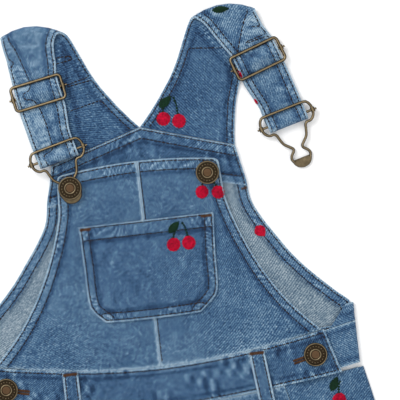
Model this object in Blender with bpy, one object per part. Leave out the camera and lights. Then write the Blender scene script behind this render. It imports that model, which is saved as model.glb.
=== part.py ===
"""A child's denim shortalls, laid flat with the front up and one strap unfastened."""
import math
from collections import namedtuple

import bpy
import bmesh
from mathutils import Vector

# All sizes are millimetres. X runs across the garment, Y up towards the straps, Z off the table.
MM = 0.001
CLEAR = 0.3               # between pieces that touch
MID_HEIGHT = -113.8       # garment height that becomes Y = 0

# Cloth walls
DENIM = 1.2
FACING = 1.0
STRAP = 1.4
BAND = 1.8
HEM = 7.0                 # width of a turned hem
HEM_STEP = 1.2            # width of its inner slope
HEM_RISE = 0.6            # how far a hem stands above its panel
SEAM_HALF = 0.15          # half of the gap at a centre seam

# Bib and waist
BIB_TOP, BIB_TOP_DROP = 14.0, 3.9
WAIST_MID, WAIST_RISE, WAIST_HALF = -134.8, 12.9, 117.0
BAND_LOW_MID, BAND_LOW_RISE, BAND_LOW_HALF = -164.5, 11.1, 126.0
BAND_END_TOP, BAND_END_SLANT = 119.7, 9.3
LEG_LAYER = 1.5           # underside of a front panel that lies on a back panel
BIB_HIGH = 3.3            # underside of the bib where it lies on the facing
BIB_SINK_TOP, BIB_SINK_LOW = -10.0, -36.0

# Back
NOTCH_X, NOTCH_Y = 4.9, 37.7
SHOULDER_Y = 17.2         # where the yoke line meets the armhole
SEAM_RIDGE = 8.5          # height of the felled yoke seam
FACING_END = 0.221        # how far down the back the facing reaches, as a share
SIDE = 143.0              # side fold at the waist
BACK_SIDE = 140.8         # where the back panel ends and its turned edge starts
BACK_WAIST_SIDE, BACK_WAIST_RISE = -118.0, 6.0
BACK_BAND_HIGH = 30.0
FOLD = 1.2                # radius of the side fold, to the middle of the cloth
WRAP_END = 105.0          # where the wrapped back waistband ends on the front
WRAP_DROP = 0.2           # how steeply its top edge falls towards that end

# Legs
HEM_IN, HEM_OUT = -347.0, -339.0
LEG_HEM = 20.0
LEG_COLUMNS = 5
SIDE_ROLL = 1.5
BACK_LEG_INSET = 2.2      # the back leg ends inside the rolled side fold

# Buttons and wire
BUTTON = 17.0
SHANK, SHANK_HIGH = 2.2, 2.6
WIRE, BAR = 1.1, 0.9
HOOK_WIRE = 1.0

Row = namedtuple("Row", "height value")
FRONT_EDGE = [Row(10.3, 58.3), Row(-5.5, 59.2), Row(-16.6, 59.9), Row(-28.0, 62.6), Row(-42.2, 67.1),
              Row(-59.7, 74.3), Row(-77.4, 83.3), Row(-93.4, 93.5), Row(-106.6, 104.0), Row(-121.5, 118.2)]
BACK_EDGE = [Row(17.2, 71.6), Row(3.9, 74.2), Row(-7.5, 76.6), Row(-23.2, 78.6), Row(-35.9, 84.4),
             Row(-50.9, 93.8), Row(-64.9, 103.2), Row(-79.2, 115.5), Row(-95.5, 132.1), Row(-104.0, 141.0),
             Row(-118.0, 141.1)]
CENTRE_SHIFT = [Row(37.7, 4.9), Row(0.0, 4.9), Row(-60.0, 2.5), Row(-118.0, 0.0)]
LEG_SIDE = [Row(-150.0, 143.0), Row(-175.0, 149.0), Row(-205.0, 155.5), Row(-260.0, 162.0),
            Row(-339.0, 166.0)]
LEG_INSIDE = [Row(-164.0, SEAM_HALF), Row(-272.0, SEAM_HALF), Row(-283.0, 0.6), Row(-300.0, 4.5),
              Row(-347.0, 13.0)]
POCKET_MOUTH = [Row(-156.0, 86.3), Row(-163.5, 88.1), Row(-172.0, 90.4), Row(-184.0, 95.0),
                Row(-195.0, 102.5), Row(-204.0, 113.0), Row(-211.0, 127.0), Row(-216.0, 143.0),
                Row(-219.0, 155.5)]
POCKET_LEFT = [Row(-28.8, -46.9), Row(-57.0, -46.3), Row(-85.0, -45.6), Row(-92.0, -42.0), Row(-98.8, -35.0)]
POCKET_RIGHT = [Row(-28.8, 50.5), Row(-57.0, 48.6), Row(-85.0, 46.9), Row(-92.0, 41.5), Row(-98.8, 33.5)]

StrapRow = namedtuple("StrapRow", "left_x left_y right_x right_y left_z right_z bulge")
FLAT = STRAP / 2
STRAP_BACK = [
    StrapRow(5.1, 38.1, 71.6, 17.6, FLAT, FLAT, 0.0),
    StrapRow(11.6, 45.4, 72.4, 27.0, FLAT, FLAT, 0.0),
    StrapRow(19.1, 54.7, 74.0, 38.0, FLAT, FLAT, 0.0),
    StrapRow(25.0, 62.8, 76.2, 49.5, FLAT, FLAT, 0.0),
    StrapRow(30.6, 71.0, 79.6, 60.5, FLAT, FLAT, 0.0),
    StrapRow(36.6, 82.0, 83.6, 73.5, FLAT, FLAT, 0.0),
    StrapRow(41.9, 94.0, 88.0, 88.5, FLAT, FLAT, 1.0),
    StrapRow(46.3, 104.0, 92.6, 102.5, FLAT, FLAT, 3.0),
]
RIGHT_FOLD = [
    StrapRow(48.6, 108.6, 96.2, 110.4, 0.0, 0.0, 6.6),
    StrapRow(54.5, 110.6, 97.2, 111.2, 0.0, 0.0, 6.0),
]
RIGHT_FALL = [
    StrapRow(59.5, 106.2, 99.3, 105.8, 3.4, 3.4, 3.6),
    StrapRow(64.0, 99.5, 101.3, 100.6, 2.6, 2.5, 1.2),
    StrapRow(68.9, 91.5, 103.4, 97.4, 3.0, 2.1, 0.0),
]
LEFT_FOLD = [
    StrapRow(-86.4, 110.4, -38.8, 108.6, 0.0, 0.0, 6.6),
    StrapRow(-87.0, 111.2, -47.0, 110.6, 0.0, 0.0, 6.0),
]
LEFT_FALL = [
    StrapRow(-86.2, 104.5, -49.5, 105.0, 3.4, 3.4, 3.0),
    StrapRow(-84.6, 96.0, -50.0, 98.0, 2.5, 2.5, 1.0),
    StrapRow(-83.6, 87.0, -49.7, 91.5, 2.4, 2.4, 0.0),
]
FOLD_STEPS = 5
FOLD_HALF = 1.85          # radius of the roll at the top of a strap
STRAP_COLUMNS = 5

# A fitting lies at a place, turned, on cloth whose height differs from its left to its right end
Place = namedtuple("Place", "x y turn left_base right_base")
RIGHT_SLIDER = Place(94.8, 77.0, 19.5, 3.0, 0.0)
LEFT_SLIDER = Place(-64.6, 70.6, 10.5, 1.7, 1.7)
RIGHT_HOOK = Place(108.7, 38.7, 15.0, 0.0, 0.0)
LEFT_HOOK = Place(-57.8, 31.8, 14.0, 1.7, 1.7)
SLIDER_HALF_LONG, SLIDER_HALF_HIGH, SLIDER_CORNER = 18.5, 8.85, 2.6
SLIDER_TOP, SLIDER_LOW = 2.8, 4.5         # heights of its two long wires
SLIDER_BAR = 3.2
STRAP_AT_SLIDER, STRAP_AT_HOOK = 16.2, 14.6
HOOK_BAR_DOWN = 7.8
HOOK_LENGTH = 44.0
FOLD_END = 12.6                           # outermost point of the strap's end fold
RETURN_SHIFT = -0.8                       # the returning layer shows a little on the left
RIGHT_HOOK_HIGH = (4.6, 1.0)              # wire height over the strap, and at the tip
LEFT_HOOK_HIGH = (6.5, 6.5)
HookPoint = namedtuple("HookPoint", "across down")
HOOK_HALF = [HookPoint(0.0, 0.0), HookPoint(14.5, 0.1), HookPoint(17.8, 1.3), HookPoint(19.4, 4.4),
             HookPoint(19.6, 8.0), HookPoint(18.7, 11.6), HookPoint(16.0, 14.1), HookPoint(12.8, 14.4),
             HookPoint(11.1, 15.9), HookPoint(10.3, 18.9), HookPoint(8.7, 23.4), HookPoint(5.5, 26.8),
             HookPoint(3.6, 28.9), HookPoint(3.9, 30.8), HookPoint(6.2, 33.2), HookPoint(7.1, 36.0),
             HookPoint(6.0, 38.6)]

# Belt loops
LOOP_WIDE, LOOP_LONG = 11.3, 41.0
LOOP_TOPS = {"right": (69.7, -131.0, 4.0), "left": (-64.9, -131.0, 0.0)}
SIDE_BUTTON_X, SIDE_BUTTON_Y = 111.5, -138.5
BIB_BUTTON_X, BIB_BUTTON_Y = 49.5, 0.0
HOLE_LONG = 16.0

BLUE = (0.13, 0.24, 0.42)
PALE = (0.42, 0.50, 0.58)
BRASS = (0.42, 0.30, 0.14)


def mix(start, end, share):
    return start + (end - start) * share


def ease(share):
    """Smooth step from 0 to 1."""
    share = min(max(share, 0.0), 1.0)
    return share * share * (3 - 2 * share)


def read(table, height):
    """The value at a height, on a smooth curve through a table whose heights fall."""
    if height >= table[0].height:
        return table[0].value
    for i in range(len(table) - 1):
        if height >= table[i + 1].height:
            break
    else:
        return table[-1].value
    a, b = table[i], table[i + 1]
    before = table[max(i - 1, 0)]
    after = table[min(i + 2, len(table) - 1)]
    span = b.height - a.height
    slope_a = (b.value - before.value) / (b.height - before.height) * span
    slope_b = (after.value - a.value) / (after.height - a.height) * span
    t = (height - a.height) / span
    return ((2 * t**3 - 3 * t**2 + 1) * a.value + (t**3 - 2 * t**2 + t) * slope_a
            + (3 * t**2 - 2 * t**3) * b.value + (t**3 - t**2) * slope_b)


def widen(table, height):
    """How much wider a strip that follows a slanting edge is when it is measured across."""
    slope = (read(table, height + 2) - read(table, height - 2)) / 4
    return math.sqrt(1 + slope * slope)


def stops(count, first=0.0, last=0.0, step=0.0):
    """Shares from 0 to 1 with a flag where a hem of that share lies at the start or end."""
    marks = []
    start, end = 0.0, 1.0
    if first:
        marks += [(0.0, True), (first, True)]
        start = first + step
    if last:
        end = 1.0 - last - step
    marks += [(mix(start, end, i / count), False) for i in range(count + 1)]
    if last:
        marks += [(1.0 - last, True), (1.0, True)]
    return marks


def waist_line(x):
    return WAIST_MID + WAIST_RISE * (abs(x) / WAIST_HALF) ** 1.9


def band_low_line(x):
    return BAND_LOW_MID + BAND_LOW_RISE * (abs(x) / BAND_LOW_HALF) ** 1.6


def back_waist_line(x):
    return BACK_WAIST_SIDE - BACK_WAIST_RISE * (1 - (abs(x) / SIDE) ** 2)


def bib_under(y):
    """Height of the bib's underside, which sinks from the facing to the back panel."""
    return mix(LEG_LAYER, BIB_HIGH, ease((y - BIB_SINK_LOW) / (BIB_SINK_TOP - BIB_SINK_LOW)))


def front_band_under(x):
    """Height of the front waistband's underside, raised where it lies on the wrapped back end."""
    over_wrap = STRAP + 2 * FOLD + CLEAR + 0.1
    return mix(STRAP + CLEAR, over_wrap, ease((abs(x) - 90) / 12))


def mirrored(grid, centre=0.0):
    return [[Vector((2 * centre - p.x, p.y, p.z)) for p in reversed(row)] for row in grid]


def flipped(flags):
    return [list(reversed(row)) for row in flags]


def material(name, colour, roughness, metallic):
    made = bpy.data.materials.new(name)
    made.use_nodes = True
    shader = made.node_tree.nodes["Principled BSDF"]
    shader.inputs["Base Color"].default_value = (*colour, 1.0)
    shader.inputs["Roughness"].default_value = roughness
    shader.inputs["Metallic"].default_value = metallic
    return made


def place_object(name, mesh, colour, roughness=0.85, metallic=0.0):
    """Puts a mesh in the scene as a named piece with a material of its own."""
    piece = bpy.data.objects.new(name, mesh)
    bpy.context.scene.collection.objects.link(piece)
    piece.location.y = -MID_HEIGHT * MM
    mesh.materials.append(material(name, colour, roughness, metallic))
    mesh.shade_smooth()
    mesh.set_sharp_from_angle(angle=math.radians(40))
    return piece


def finish_mesh(name, work):
    bmesh.ops.recalc_face_normals(work, faces=work.faces)
    bmesh.ops.scale(work, vec=(MM, MM, MM), verts=work.verts)
    mesh = bpy.data.meshes.new(name)
    work.to_mesh(mesh)
    work.free()
    return mesh


def cloth(name, grid, thickness, colour=BLUE, raised=None):
    """A closed cloth wall about a grid of middle points, with hems raised on its outer side."""
    work = bmesh.new()
    rows, columns = len(grid), len(grid[0])
    inner, outer = [], []
    for i in range(rows):
        inner.append([])
        outer.append([])
        for j in range(columns):
            along = grid[min(i + 1, rows - 1)][j] - grid[max(i - 1, 0)][j]
            across = grid[i][min(j + 1, columns - 1)] - grid[i][max(j - 1, 0)]
            normal = along.cross(across).normalized()
            rise = HEM_RISE if raised and raised[i][j] else 0.0
            inner[i].append(work.verts.new(grid[i][j] - normal * thickness / 2))
            outer[i].append(work.verts.new(grid[i][j] + normal * (thickness / 2 + rise)))
    for i in range(rows - 1):
        for j in range(columns - 1):
            work.faces.new([outer[i][j], outer[i + 1][j], outer[i + 1][j + 1], outer[i][j + 1]])
            work.faces.new([inner[i][j], inner[i][j + 1], inner[i + 1][j + 1], inner[i + 1][j]])
    rim = [(0, j) for j in range(columns)]
    rim += [(i, columns - 1) for i in range(1, rows)]
    rim += [(rows - 1, j) for j in range(columns - 2, -1, -1)]
    rim += [(i, 0) for i in range(rows - 2, 0, -1)]
    for (i, j), (k, m) in zip(rim, rim[1:] + rim[:1]):
        work.faces.new([outer[i][j], outer[k][m], inner[k][m], inner[i][j]])
    return place_object(name, finish_mesh(name, work), colour)


def turned(name, profile, segments, centre, colour=BRASS):
    """A closed body turned about an upright axis from (radius, height) points, axis to axis."""
    work = bmesh.new()
    rings = []
    for radius, height in profile:
        if radius == 0:
            rings.append([work.verts.new((centre.x, centre.y, centre.z + height))] * segments)
            continue
        ring = []
        for k in range(segments):
            angle = 2 * math.pi * k / segments
            spot = (centre.x + radius * math.cos(angle), centre.y + radius * math.sin(angle))
            ring.append(work.verts.new((*spot, centre.z + height)))
        rings.append(ring)
    for upper, lower in zip(rings, rings[1:]):
        for k in range(segments):
            corner = [upper[k], lower[k], lower[(k + 1) % segments], upper[(k + 1) % segments]]
            work.faces.new(list(dict.fromkeys(corner)))
    return place_object(name, finish_mesh(name, work), colour, 0.35, 1.0)


def wire_mesh(name, points, radius, closed=False, resolution=2):
    """Round wire along a smooth line of points, as a mesh."""
    curve = bpy.data.curves.new(name, "CURVE")
    curve.dimensions = "3D"
    curve.bevel_depth = radius * MM
    curve.bevel_resolution = resolution
    curve.use_fill_caps = not closed
    spline = curve.splines.new("POLY")
    spline.points.add(len(points) - 1)
    for point, spot in zip(spline.points, points):
        point.co = (*(spot * MM), 1.0)
    spline.use_cyclic_u = closed
    guide = bpy.data.objects.new(name, curve)
    bpy.context.scene.collection.objects.link(guide)
    bpy.context.view_layer.update()
    mesh = bpy.data.meshes.new_from_object(guide.evaluated_get(bpy.context.evaluated_depsgraph_get()))
    bpy.data.objects.remove(guide)
    mesh.materials.clear()
    return mesh


def fused(name, meshes):
    """One metal body out of several wires and plates that run into each other."""
    piece = place_object(name, meshes[0], BRASS, 0.35, 1.0)
    for count, mesh in enumerate(meshes[1:]):
        tool = bpy.data.objects.new(f"{name}_tool_{count}", mesh)
        bpy.context.scene.collection.objects.link(tool)
        tool.location = piece.location
        tool.hide_render = True
        tool.display_type = "WIRE"
        union = piece.modifiers.new(f"join_{count}", "BOOLEAN")
        union.operation = "UNION"
        union.solver = "EXACT"
        union.object = tool
    return piece


def at(place, across, down, height):
    """A point of a fitting: across it, down along the strap, and above its cloth."""
    turn = math.radians(place.turn)
    share = (across + SLIDER_HALF_LONG) / (2 * SLIDER_HALF_LONG)
    base = mix(place.left_base, place.right_base, min(max(share, 0.0), 1.0))
    return Vector((place.x + across * math.cos(turn) + down * math.sin(turn),
                   place.y + across * math.sin(turn) - down * math.cos(turn), base + height))


def smooth_line(points, parts):
    """Points on a smooth curve through the given ones."""
    line = []
    for i in range(len(points) - 1):
        before, a, b = points[max(i - 1, 0)], points[i], points[i + 1]
        after = points[min(i + 2, len(points) - 1)]
        for k in range(parts):
            t = k / parts
            line.append(0.5 * (2 * a + (b - before) * t + (2 * before - 5 * a + 4 * b - after) * t**2
                               + (3 * a - before - 3 * b + after) * t**3))
    line.append(points[-1])
    return line


def back_reach(y):
    """Half width of the back at a height, up to the side fold."""
    return min(read(BACK_EDGE, y), BACK_SIDE)


def back_point(down, across, height):
    """A point of the back: down from the yoke line to the waist, across from -1 to 1."""
    side_y = mix(SHOULDER_Y, BACK_WAIST_SIDE + CLEAR, down)
    middle_y = mix(NOTCH_Y, back_waist_line(0) + CLEAR, down)
    centre = read(CENTRE_SHIFT, side_y)
    x = centre + across * (back_reach(side_y) - centre)
    y = mix(middle_y, side_y, abs(across) ** mix(1.0, 2.0, down))
    return Vector((x, y, height))


def make_back():
    """The back panel, armhole hems turned in, and the facing behind the neck with its felled seam."""
    grid, flags = [], []
    for down, _ in stops(19):
        side_y = mix(SHOULDER_Y, BACK_WAIST_SIDE, down)
        reach = back_reach(side_y)
        hem = min(HEM * widen(BACK_EDGE, side_y) / (2 * reach), 0.12)
        marks = stops(10, hem, hem, HEM_STEP / (2 * reach))
        grid.append([back_point(down, 2 * share - 1, DENIM / 2) for share, _ in marks])
        flags.append([turned_in and down > FACING_END + 0.05 for _, turned_in in marks])
    cloth("back_panel", grid, DENIM, PALE, flags)
    ridge = SEAM_RIDGE / (NOTCH_Y - back_waist_line(0))
    height = DENIM + CLEAR + FACING / 2
    downs = [(0.0, True), (ridge, True), (ridge + 0.008, False)]
    downs += [(mix(ridge + 0.008, FACING_END, i / 3), False) for i in range(1, 4)]
    grid = [[back_point(down, j / 6 - 1, height) for j in range(13)] for down, _ in downs]
    flags = [[high] * 13 for _, high in downs]
    cloth("back_facing", grid, FACING, BLUE, flags)


def make_side_underlaps():
    """The back's side edges, folded to the front below the armholes."""
    grid = []
    for i in range(5):
        y = mix(-104.5, BACK_WAIST_SIDE + CLEAR, i / 4)
        reach = mix(4.0, 17.0, i / 4)
        row = []
        centre = SIDE - FOLD - DENIM / 2
        for k in range(6):
            angle = math.radians(-75 + 165 * k / 5)
            height = DENIM / 2 + FOLD + FOLD * math.sin(angle)
            row.append(Vector((centre + FOLD * math.cos(angle), y, height)))
        for k in (1, 2, 3):
            row.append(Vector((centre - reach * k / 3, y - WRAP_DROP * reach * k / 3, DENIM / 2 + 2 * FOLD)))
        grid.append(row)
    cloth("side_underlap_right", grid, DENIM)
    cloth("side_underlap_left", mirrored(grid), DENIM)


def make_bib():
    """Two bib panels that meet at the centre seam, with hems along the top and the armholes."""
    grid, flags = [], []
    length = BIB_TOP - WAIST_MID
    for down, top_hem in stops(13, (HEM + 2) / length, 0.0, HEM_STEP / length):
        side_y = mix(BIB_TOP - BIB_TOP_DROP, waist_line(118.2) + CLEAR, down)
        middle_y = mix(BIB_TOP, WAIST_MID + CLEAR, down)
        reach = read(FRONT_EDGE, side_y)
        hem = HEM * widen(FRONT_EDGE, side_y) / reach
        row, row_flags = [], []
        for share, side_hem in stops(6, 0.0, hem, HEM_STEP / reach):
            x = mix(SEAM_HALF, reach, share)
            y = mix(middle_y, side_y, share ** 1.95)
            row.append(Vector((x, y, bib_under(y) + DENIM / 2)))
            row_flags.append(top_hem or side_hem)
        grid.append(row)
        flags.append(row_flags)
    cloth("bib_right", grid, DENIM, BLUE, flags)
    cloth("bib_left", mirrored(grid), DENIM, BLUE, flipped(flags))


def make_bib_pocket():
    """The patch pocket, made from the bib's heights and moved out."""
    grid, flags = [], []
    for down, hem in stops(9, 0.16, 0.0, 0.018):
        y = mix(-28.8, -98.8, down)
        left, right = read(POCKET_LEFT, y), read(POCKET_RIGHT, y)
        row = []
        for j in range(9):
            x = mix(left, right, j / 8)
            sag = -0.8 * down * (1 - (j / 4 - 1) ** 2)
            lift = 0.5 * (1 - (j / 4 - 1) ** 2) * (1 - ease(down / 0.2))
            row.append(Vector((x, y + sag, bib_under(y) + DENIM + CLEAR + DENIM / 2 + 0.1 + lift)))
        grid.append(row)
        flags.append([hem] * 9)
    cloth("bib_pocket", grid, DENIM, BLUE, flags)


def make_waistbands():
    """The front waistband lies on the back one, whose ends wrap round the side folds."""
    columns = 30
    grid = []
    for i in range(5):
        end = BAND_END_TOP + BAND_END_SLANT * i / 4
        row = []
        for j in range(columns + 1):
            x = mix(-end, end, j / columns)
            y = mix(waist_line(x), band_low_line(x), i / 4)
            row.append(Vector((x, y, front_band_under(x) + BAND / 2)))
        grid.append(row)
    band = cloth("waistband_front", grid, BAND)
    for side in (-1, 1):
        cut_buttonhole(band, side)
    centre = SIDE - FOLD - STRAP / 2
    grid = []
    for i in range(4):
        low = -BACK_BAND_HIGH * i / 3
        half = [Vector((centre * k / 7, back_waist_line(centre * k / 7) + low, STRAP / 2)) for k in range(8)]
        side_y = back_waist_line(SIDE) + low
        for k in range(1, 6):
            angle = math.radians(-90 + 36 * k)
            half.append(Vector((centre + FOLD * math.cos(angle), side_y,
                                STRAP / 2 + FOLD + FOLD * math.sin(angle))))
        for k in (1, 2, 3):
            x = mix(centre, WRAP_END, k / 3)
            half.append(Vector((x, side_y - WRAP_DROP * (centre - x), STRAP / 2 + 2 * FOLD)))
        other = [Vector((-p.x, p.y, p.z)) for p in reversed(half[1:])]
        grid.append(other + half)
    cloth("waistband_back", grid, STRAP)


def cut_buttonhole(band, side):
    """A keyhole slit through the front waistband for the side button's shank."""
    work = bmesh.new()
    outline = [(-HOLE_LONG, 0.5), (-HOLE_LONG, -0.5), (-2.6, -0.5)]
    for k in range(9):
        angle = math.radians(-160 + 40 * k)
        outline.append((2.8 * math.cos(angle), 2.8 * math.sin(angle)))
    outline.append((-2.6, 0.5))
    slant = math.radians(14) * side
    rings = []
    for height in (0.0, 12.0):
        ring = []
        for across, up in outline:
            x = SIDE_BUTTON_X * side + side * across * math.cos(slant) - up * math.sin(slant)
            y = SIDE_BUTTON_Y + side * across * math.sin(slant) + up * math.cos(slant)
            ring.append(work.verts.new((x, y, height)))
        rings.append(ring)
    work.faces.new(rings[0])
    work.faces.new(rings[1])
    for k in range(len(outline)):
        m = (k + 1) % len(outline)
        work.faces.new([rings[0][k], rings[0][m], rings[1][m], rings[1][k]])
    tool = bpy.data.objects.new(f"buttonhole_tool_{side}", finish_mesh("buttonhole_tool", work))
    bpy.context.scene.collection.objects.link(tool)
    tool.location = band.location
    tool.hide_render = True
    tool.display_type = "WIRE"
    cut = band.modifiers.new(f"buttonhole_{side}", "BOOLEAN")
    cut.operation = "DIFFERENCE"
    cut.solver = "EXACT"
    cut.object = tool


def make_belt_loops():
    for side, (x, y, slant) in LOOP_TOPS.items():
        grid = []
        for i in range(11):
            down = i / 10
            over_band = 1 - ease((down - 0.72) / 0.14)
            bow = 0.5 * math.sin(math.pi * min(down / 0.75, 1.0))
            height = mix(LEG_LAYER + DENIM + HEM_RISE, STRAP + CLEAR + BAND, over_band)
            z = height + CLEAR + STRAP / 2 + bow
            middle = x + slant * down
            row = [Vector((middle + LOOP_WIDE * (j / 2 - 0.5), y - LOOP_LONG * down, z)) for j in range(3)]
            grid.append(row)
        cloth(f"belt_loop_{side}", grid, STRAP)


def roll_edge(row, side):
    """Adds the side fold, where a front panel turns down to the table beyond the back one."""
    top = LEG_LAYER + DENIM / 2
    centre = side - DENIM / 2 - SIDE_ROLL
    y = row[-1].y
    for k in range(1, 4):
        angle = math.radians(90 - 30 * k)
        height = top - SIDE_ROLL + SIDE_ROLL * math.sin(angle)
        row.append(Vector((centre + SIDE_ROLL * math.cos(angle), y, height)))
    row.append(Vector((centre + SIDE_ROLL, y, DENIM / 2 - 0.5)))


def make_legs():
    """Front legs with scooped pocket mouths over plain back legs, one pair on each side."""
    length = BAND_LOW_MID - HEM_IN
    back = []
    for down, _ in stops(12):
        inner_y = mix(BAND_LOW_MID - CLEAR, HEM_IN, down)
        outer_y = mix(band_low_line(SIDE) - CLEAR, HEM_OUT, down)
        inner = max(read(LEG_INSIDE, inner_y), SEAM_HALF)
        side = read(LEG_SIDE, outer_y) - BACK_LEG_INSET
        back.append([Vector((mix(inner, side, j / 6), mix(inner_y, outer_y, (j / 6) ** 1.6), DENIM / 2))
                     for j in range(7)])
    cloth("back_leg_right", back, DENIM, PALE)
    cloth("back_leg_left", mirrored(back), DENIM, PALE)
    make_front_legs(length)


def make_front_legs(length):
    """The front legs, whose outer edge is the pocket mouth above and the side fold below."""
    grid, flags = [], []
    for i in range(12):
        share = i / 11
        pace = mix(share, ease(share), 0.35)
        outer_y = mix(band_low_line(86.5) - CLEAR, POCKET_MOUTH[-1].height + 0.4, pace)
        inner_y = mix(BAND_LOW_MID - CLEAR, POCKET_MOUTH[-1].height - 6.0, share)
        edge = read(POCKET_MOUTH, outer_y)
        hem = min(HEM * widen(POCKET_MOUTH, outer_y) / edge, 0.3)
        marks = stops(LEG_COLUMNS, 0.0, hem, HEM_STEP / edge)
        grid.append([Vector((mix(SEAM_HALF, edge, across), mix(inner_y, outer_y, across ** 1.6),
                             LEG_LAYER + DENIM / 2)) for across, _ in marks])
        flags.append([marked for _, marked in marks])
    upper_last = grid[-1]
    start_in, start_out = upper_last[0].y, POCKET_MOUTH[-1].height
    lower, lower_flags = [], []
    for down, hem in stops(10, 0.0, LEG_HEM / (start_in - HEM_IN), HEM_STEP / length):
        inner_y = mix(start_in, HEM_IN, down)
        outer_y = mix(start_out, HEM_OUT, down)
        side = read(LEG_SIDE, outer_y)
        inner = max(read(LEG_INSIDE, inner_y), SEAM_HALF)
        end = side - DENIM / 2 - SIDE_ROLL
        row = [Vector((mix(inner, end, across), mix(inner_y, outer_y, across ** 1.6), LEG_LAYER + DENIM / 2))
               for across, _ in stops(LEG_COLUMNS, 0.0, HEM / end, HEM_STEP / end)]
        lower.append(row)
        lower_flags.append([hem] * len(row))
    cloth("front_leg_right", grid + lower[1:], DENIM, BLUE, flags + lower_flags[1:])
    cloth("front_leg_left", mirrored(grid + lower[1:]), DENIM, BLUE, flipped(flags + lower_flags[1:]))


def make_hip_facings():
    """The pocket's facing, which fills the scoop out to the side fold."""
    grid = []
    lowest = POCKET_MOUTH[-1].height + 1.2
    for i in range(10):
        y = mix(band_low_line(88.0) - CLEAR, lowest, i / 9)
        left = read(POCKET_MOUTH, y) + (CLEAR + 0.1) * widen(POCKET_MOUTH, y)
        side = read(LEG_SIDE, y) - DENIM / 2 - SIDE_ROLL
        row = []
        for j in range(6):
            x = mix(left, side, j / 5)
            row.append(Vector((x, mix(band_low_line(x) - CLEAR, lowest, i / 9), LEG_LAYER + DENIM / 2)))
        roll_edge(row, read(LEG_SIDE, y))
        grid.append(row)
    cloth("hip_facing_right", grid, DENIM)
    cloth("hip_facing_left", mirrored(grid), DENIM)


def strap_points(left, right, bulge):
    """One row of a strap from its left to its right edge."""
    row = []
    for j in range(STRAP_COLUMNS + 1):
        share = j / STRAP_COLUMNS
        spot = left.lerp(right, share)
        spot.y += bulge * (1 - (2 * share - 1) ** 2)
        row.append(spot)
    return row


def table_row(entry):
    return strap_points(Vector((entry.left_x, entry.left_y, entry.left_z)),
                        Vector((entry.right_x, entry.right_y, entry.right_z)), entry.bulge)


def fold_rows(first, last):
    """The soft roll at the top of a strap, from its back layer to its front one."""
    rows = []
    for k in range(FOLD_STEPS + 1):
        share = k / FOLD_STEPS
        angle = math.pi * (share - 0.5)
        forward = FOLD_HALF * math.cos(angle)
        height = FLAT + FOLD_HALF * (1 + math.sin(angle))
        left = Vector((mix(first.left_x, last.left_x, share),
                       mix(first.left_y, last.left_y, share) + forward, height))
        right = Vector((mix(first.right_x, last.right_x, share),
                        mix(first.right_y, last.right_y, share) + forward, height))
        rows.append(strap_points(left, right, mix(first.bulge, last.bulge, share)))
    return rows


def fitting_row(place, half, down, height, shift=0.0):
    return strap_points(at(place, shift - half, down, height), at(place, shift + half, down, height), 0.0)


def hook_height(heights, down):
    return mix(heights[0], heights[1], down / HOOK_LENGTH)


def hook_rows(hook, heights):
    """The strap's end: under the hook's top wire, over its bar and round to the underside."""
    base = hook.left_base
    over = hook_height(heights, HOOK_BAR_DOWN) + HOOK_WIRE + CLEAR + STRAP / 2 - base
    under = heights[0] - HOOK_WIRE - CLEAR - STRAP / 2 - base
    rows = [fitting_row(hook, STRAP_AT_HOOK, -7.0, FLAT + STRAP + CLEAR),
            fitting_row(hook, STRAP_AT_HOOK, 1.5, min(under, FLAT + STRAP + 2 * CLEAR)),
            fitting_row(hook, STRAP_AT_HOOK, 4.5, mix(under, over, 0.5)),
            fitting_row(hook, STRAP_AT_HOOK, HOOK_BAR_DOWN - 0.8, over)]
    radius = (over - FLAT) / 2
    turn_at = FOLD_END - STRAP / 2 - radius
    for k in range(7):
        angle = math.pi * (0.5 - k / 6)
        rows.append(fitting_row(hook, STRAP_AT_HOOK, turn_at + radius * math.cos(angle),
                                FLAT + radius + radius * math.sin(angle)))
    rows += [fitting_row(hook, STRAP_AT_HOOK, down, FLAT, RETURN_SHIFT) for down in (4.0, -0.5, -7.0)]
    return rows


def between_rows(slider, hook, height, shift):
    """The stretch from the slider to the hook, at one layer's height."""
    rows = [fitting_row(slider, STRAP_AT_SLIDER, SLIDER_HALF_HIGH + 0.3, height, shift),
            fitting_row(slider, STRAP_AT_SLIDER, SLIDER_HALF_HIGH + 4.5, height, shift)]
    top, low = rows[-1], fitting_row(hook, STRAP_AT_HOOK, -7.0, height, shift)
    rows.append([a.lerp(b, 0.55) for a, b in zip(top, low)])
    return rows


def make_strap(side, fold, fall, slider, hook, heights):
    """A strap from the yoke, over the shoulder fold, through the slider and round the hook."""
    back = [table_row(entry) for entry in STRAP_BACK]
    if side == "left":
        back = mirrored(back, NOTCH_X)
    front = [table_row(entry) for entry in fall]
    front += [fitting_row(slider, STRAP_AT_SLIDER, -SLIDER_HALF_HIGH, FLAT),
              fitting_row(slider, STRAP_AT_SLIDER, -4.6, FLAT + 2.2),
              fitting_row(slider, STRAP_AT_SLIDER, -1.0, SLIDER_BAR + BAR + CLEAR + FLAT),
              fitting_row(slider, STRAP_AT_SLIDER, 1.0, SLIDER_BAR + BAR + CLEAR + FLAT),
              fitting_row(slider, STRAP_AT_SLIDER, 4.8, 3.6)]
    front += between_rows(slider, hook, FLAT + STRAP + CLEAR, 0.0)
    under = list(reversed(between_rows(slider, hook, FLAT, RETURN_SHIFT)))
    under += [fitting_row(slider, STRAP_AT_SLIDER, 4.8, FLAT, RETURN_SHIFT),
              fitting_row(slider, STRAP_AT_SLIDER, 0.5, FLAT, RETURN_SHIFT)]
    rows = back + fold_rows(*fold) + front + hook_rows(hook, heights) + under
    cloth(f"strap_{side}", rows, STRAP)


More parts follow.
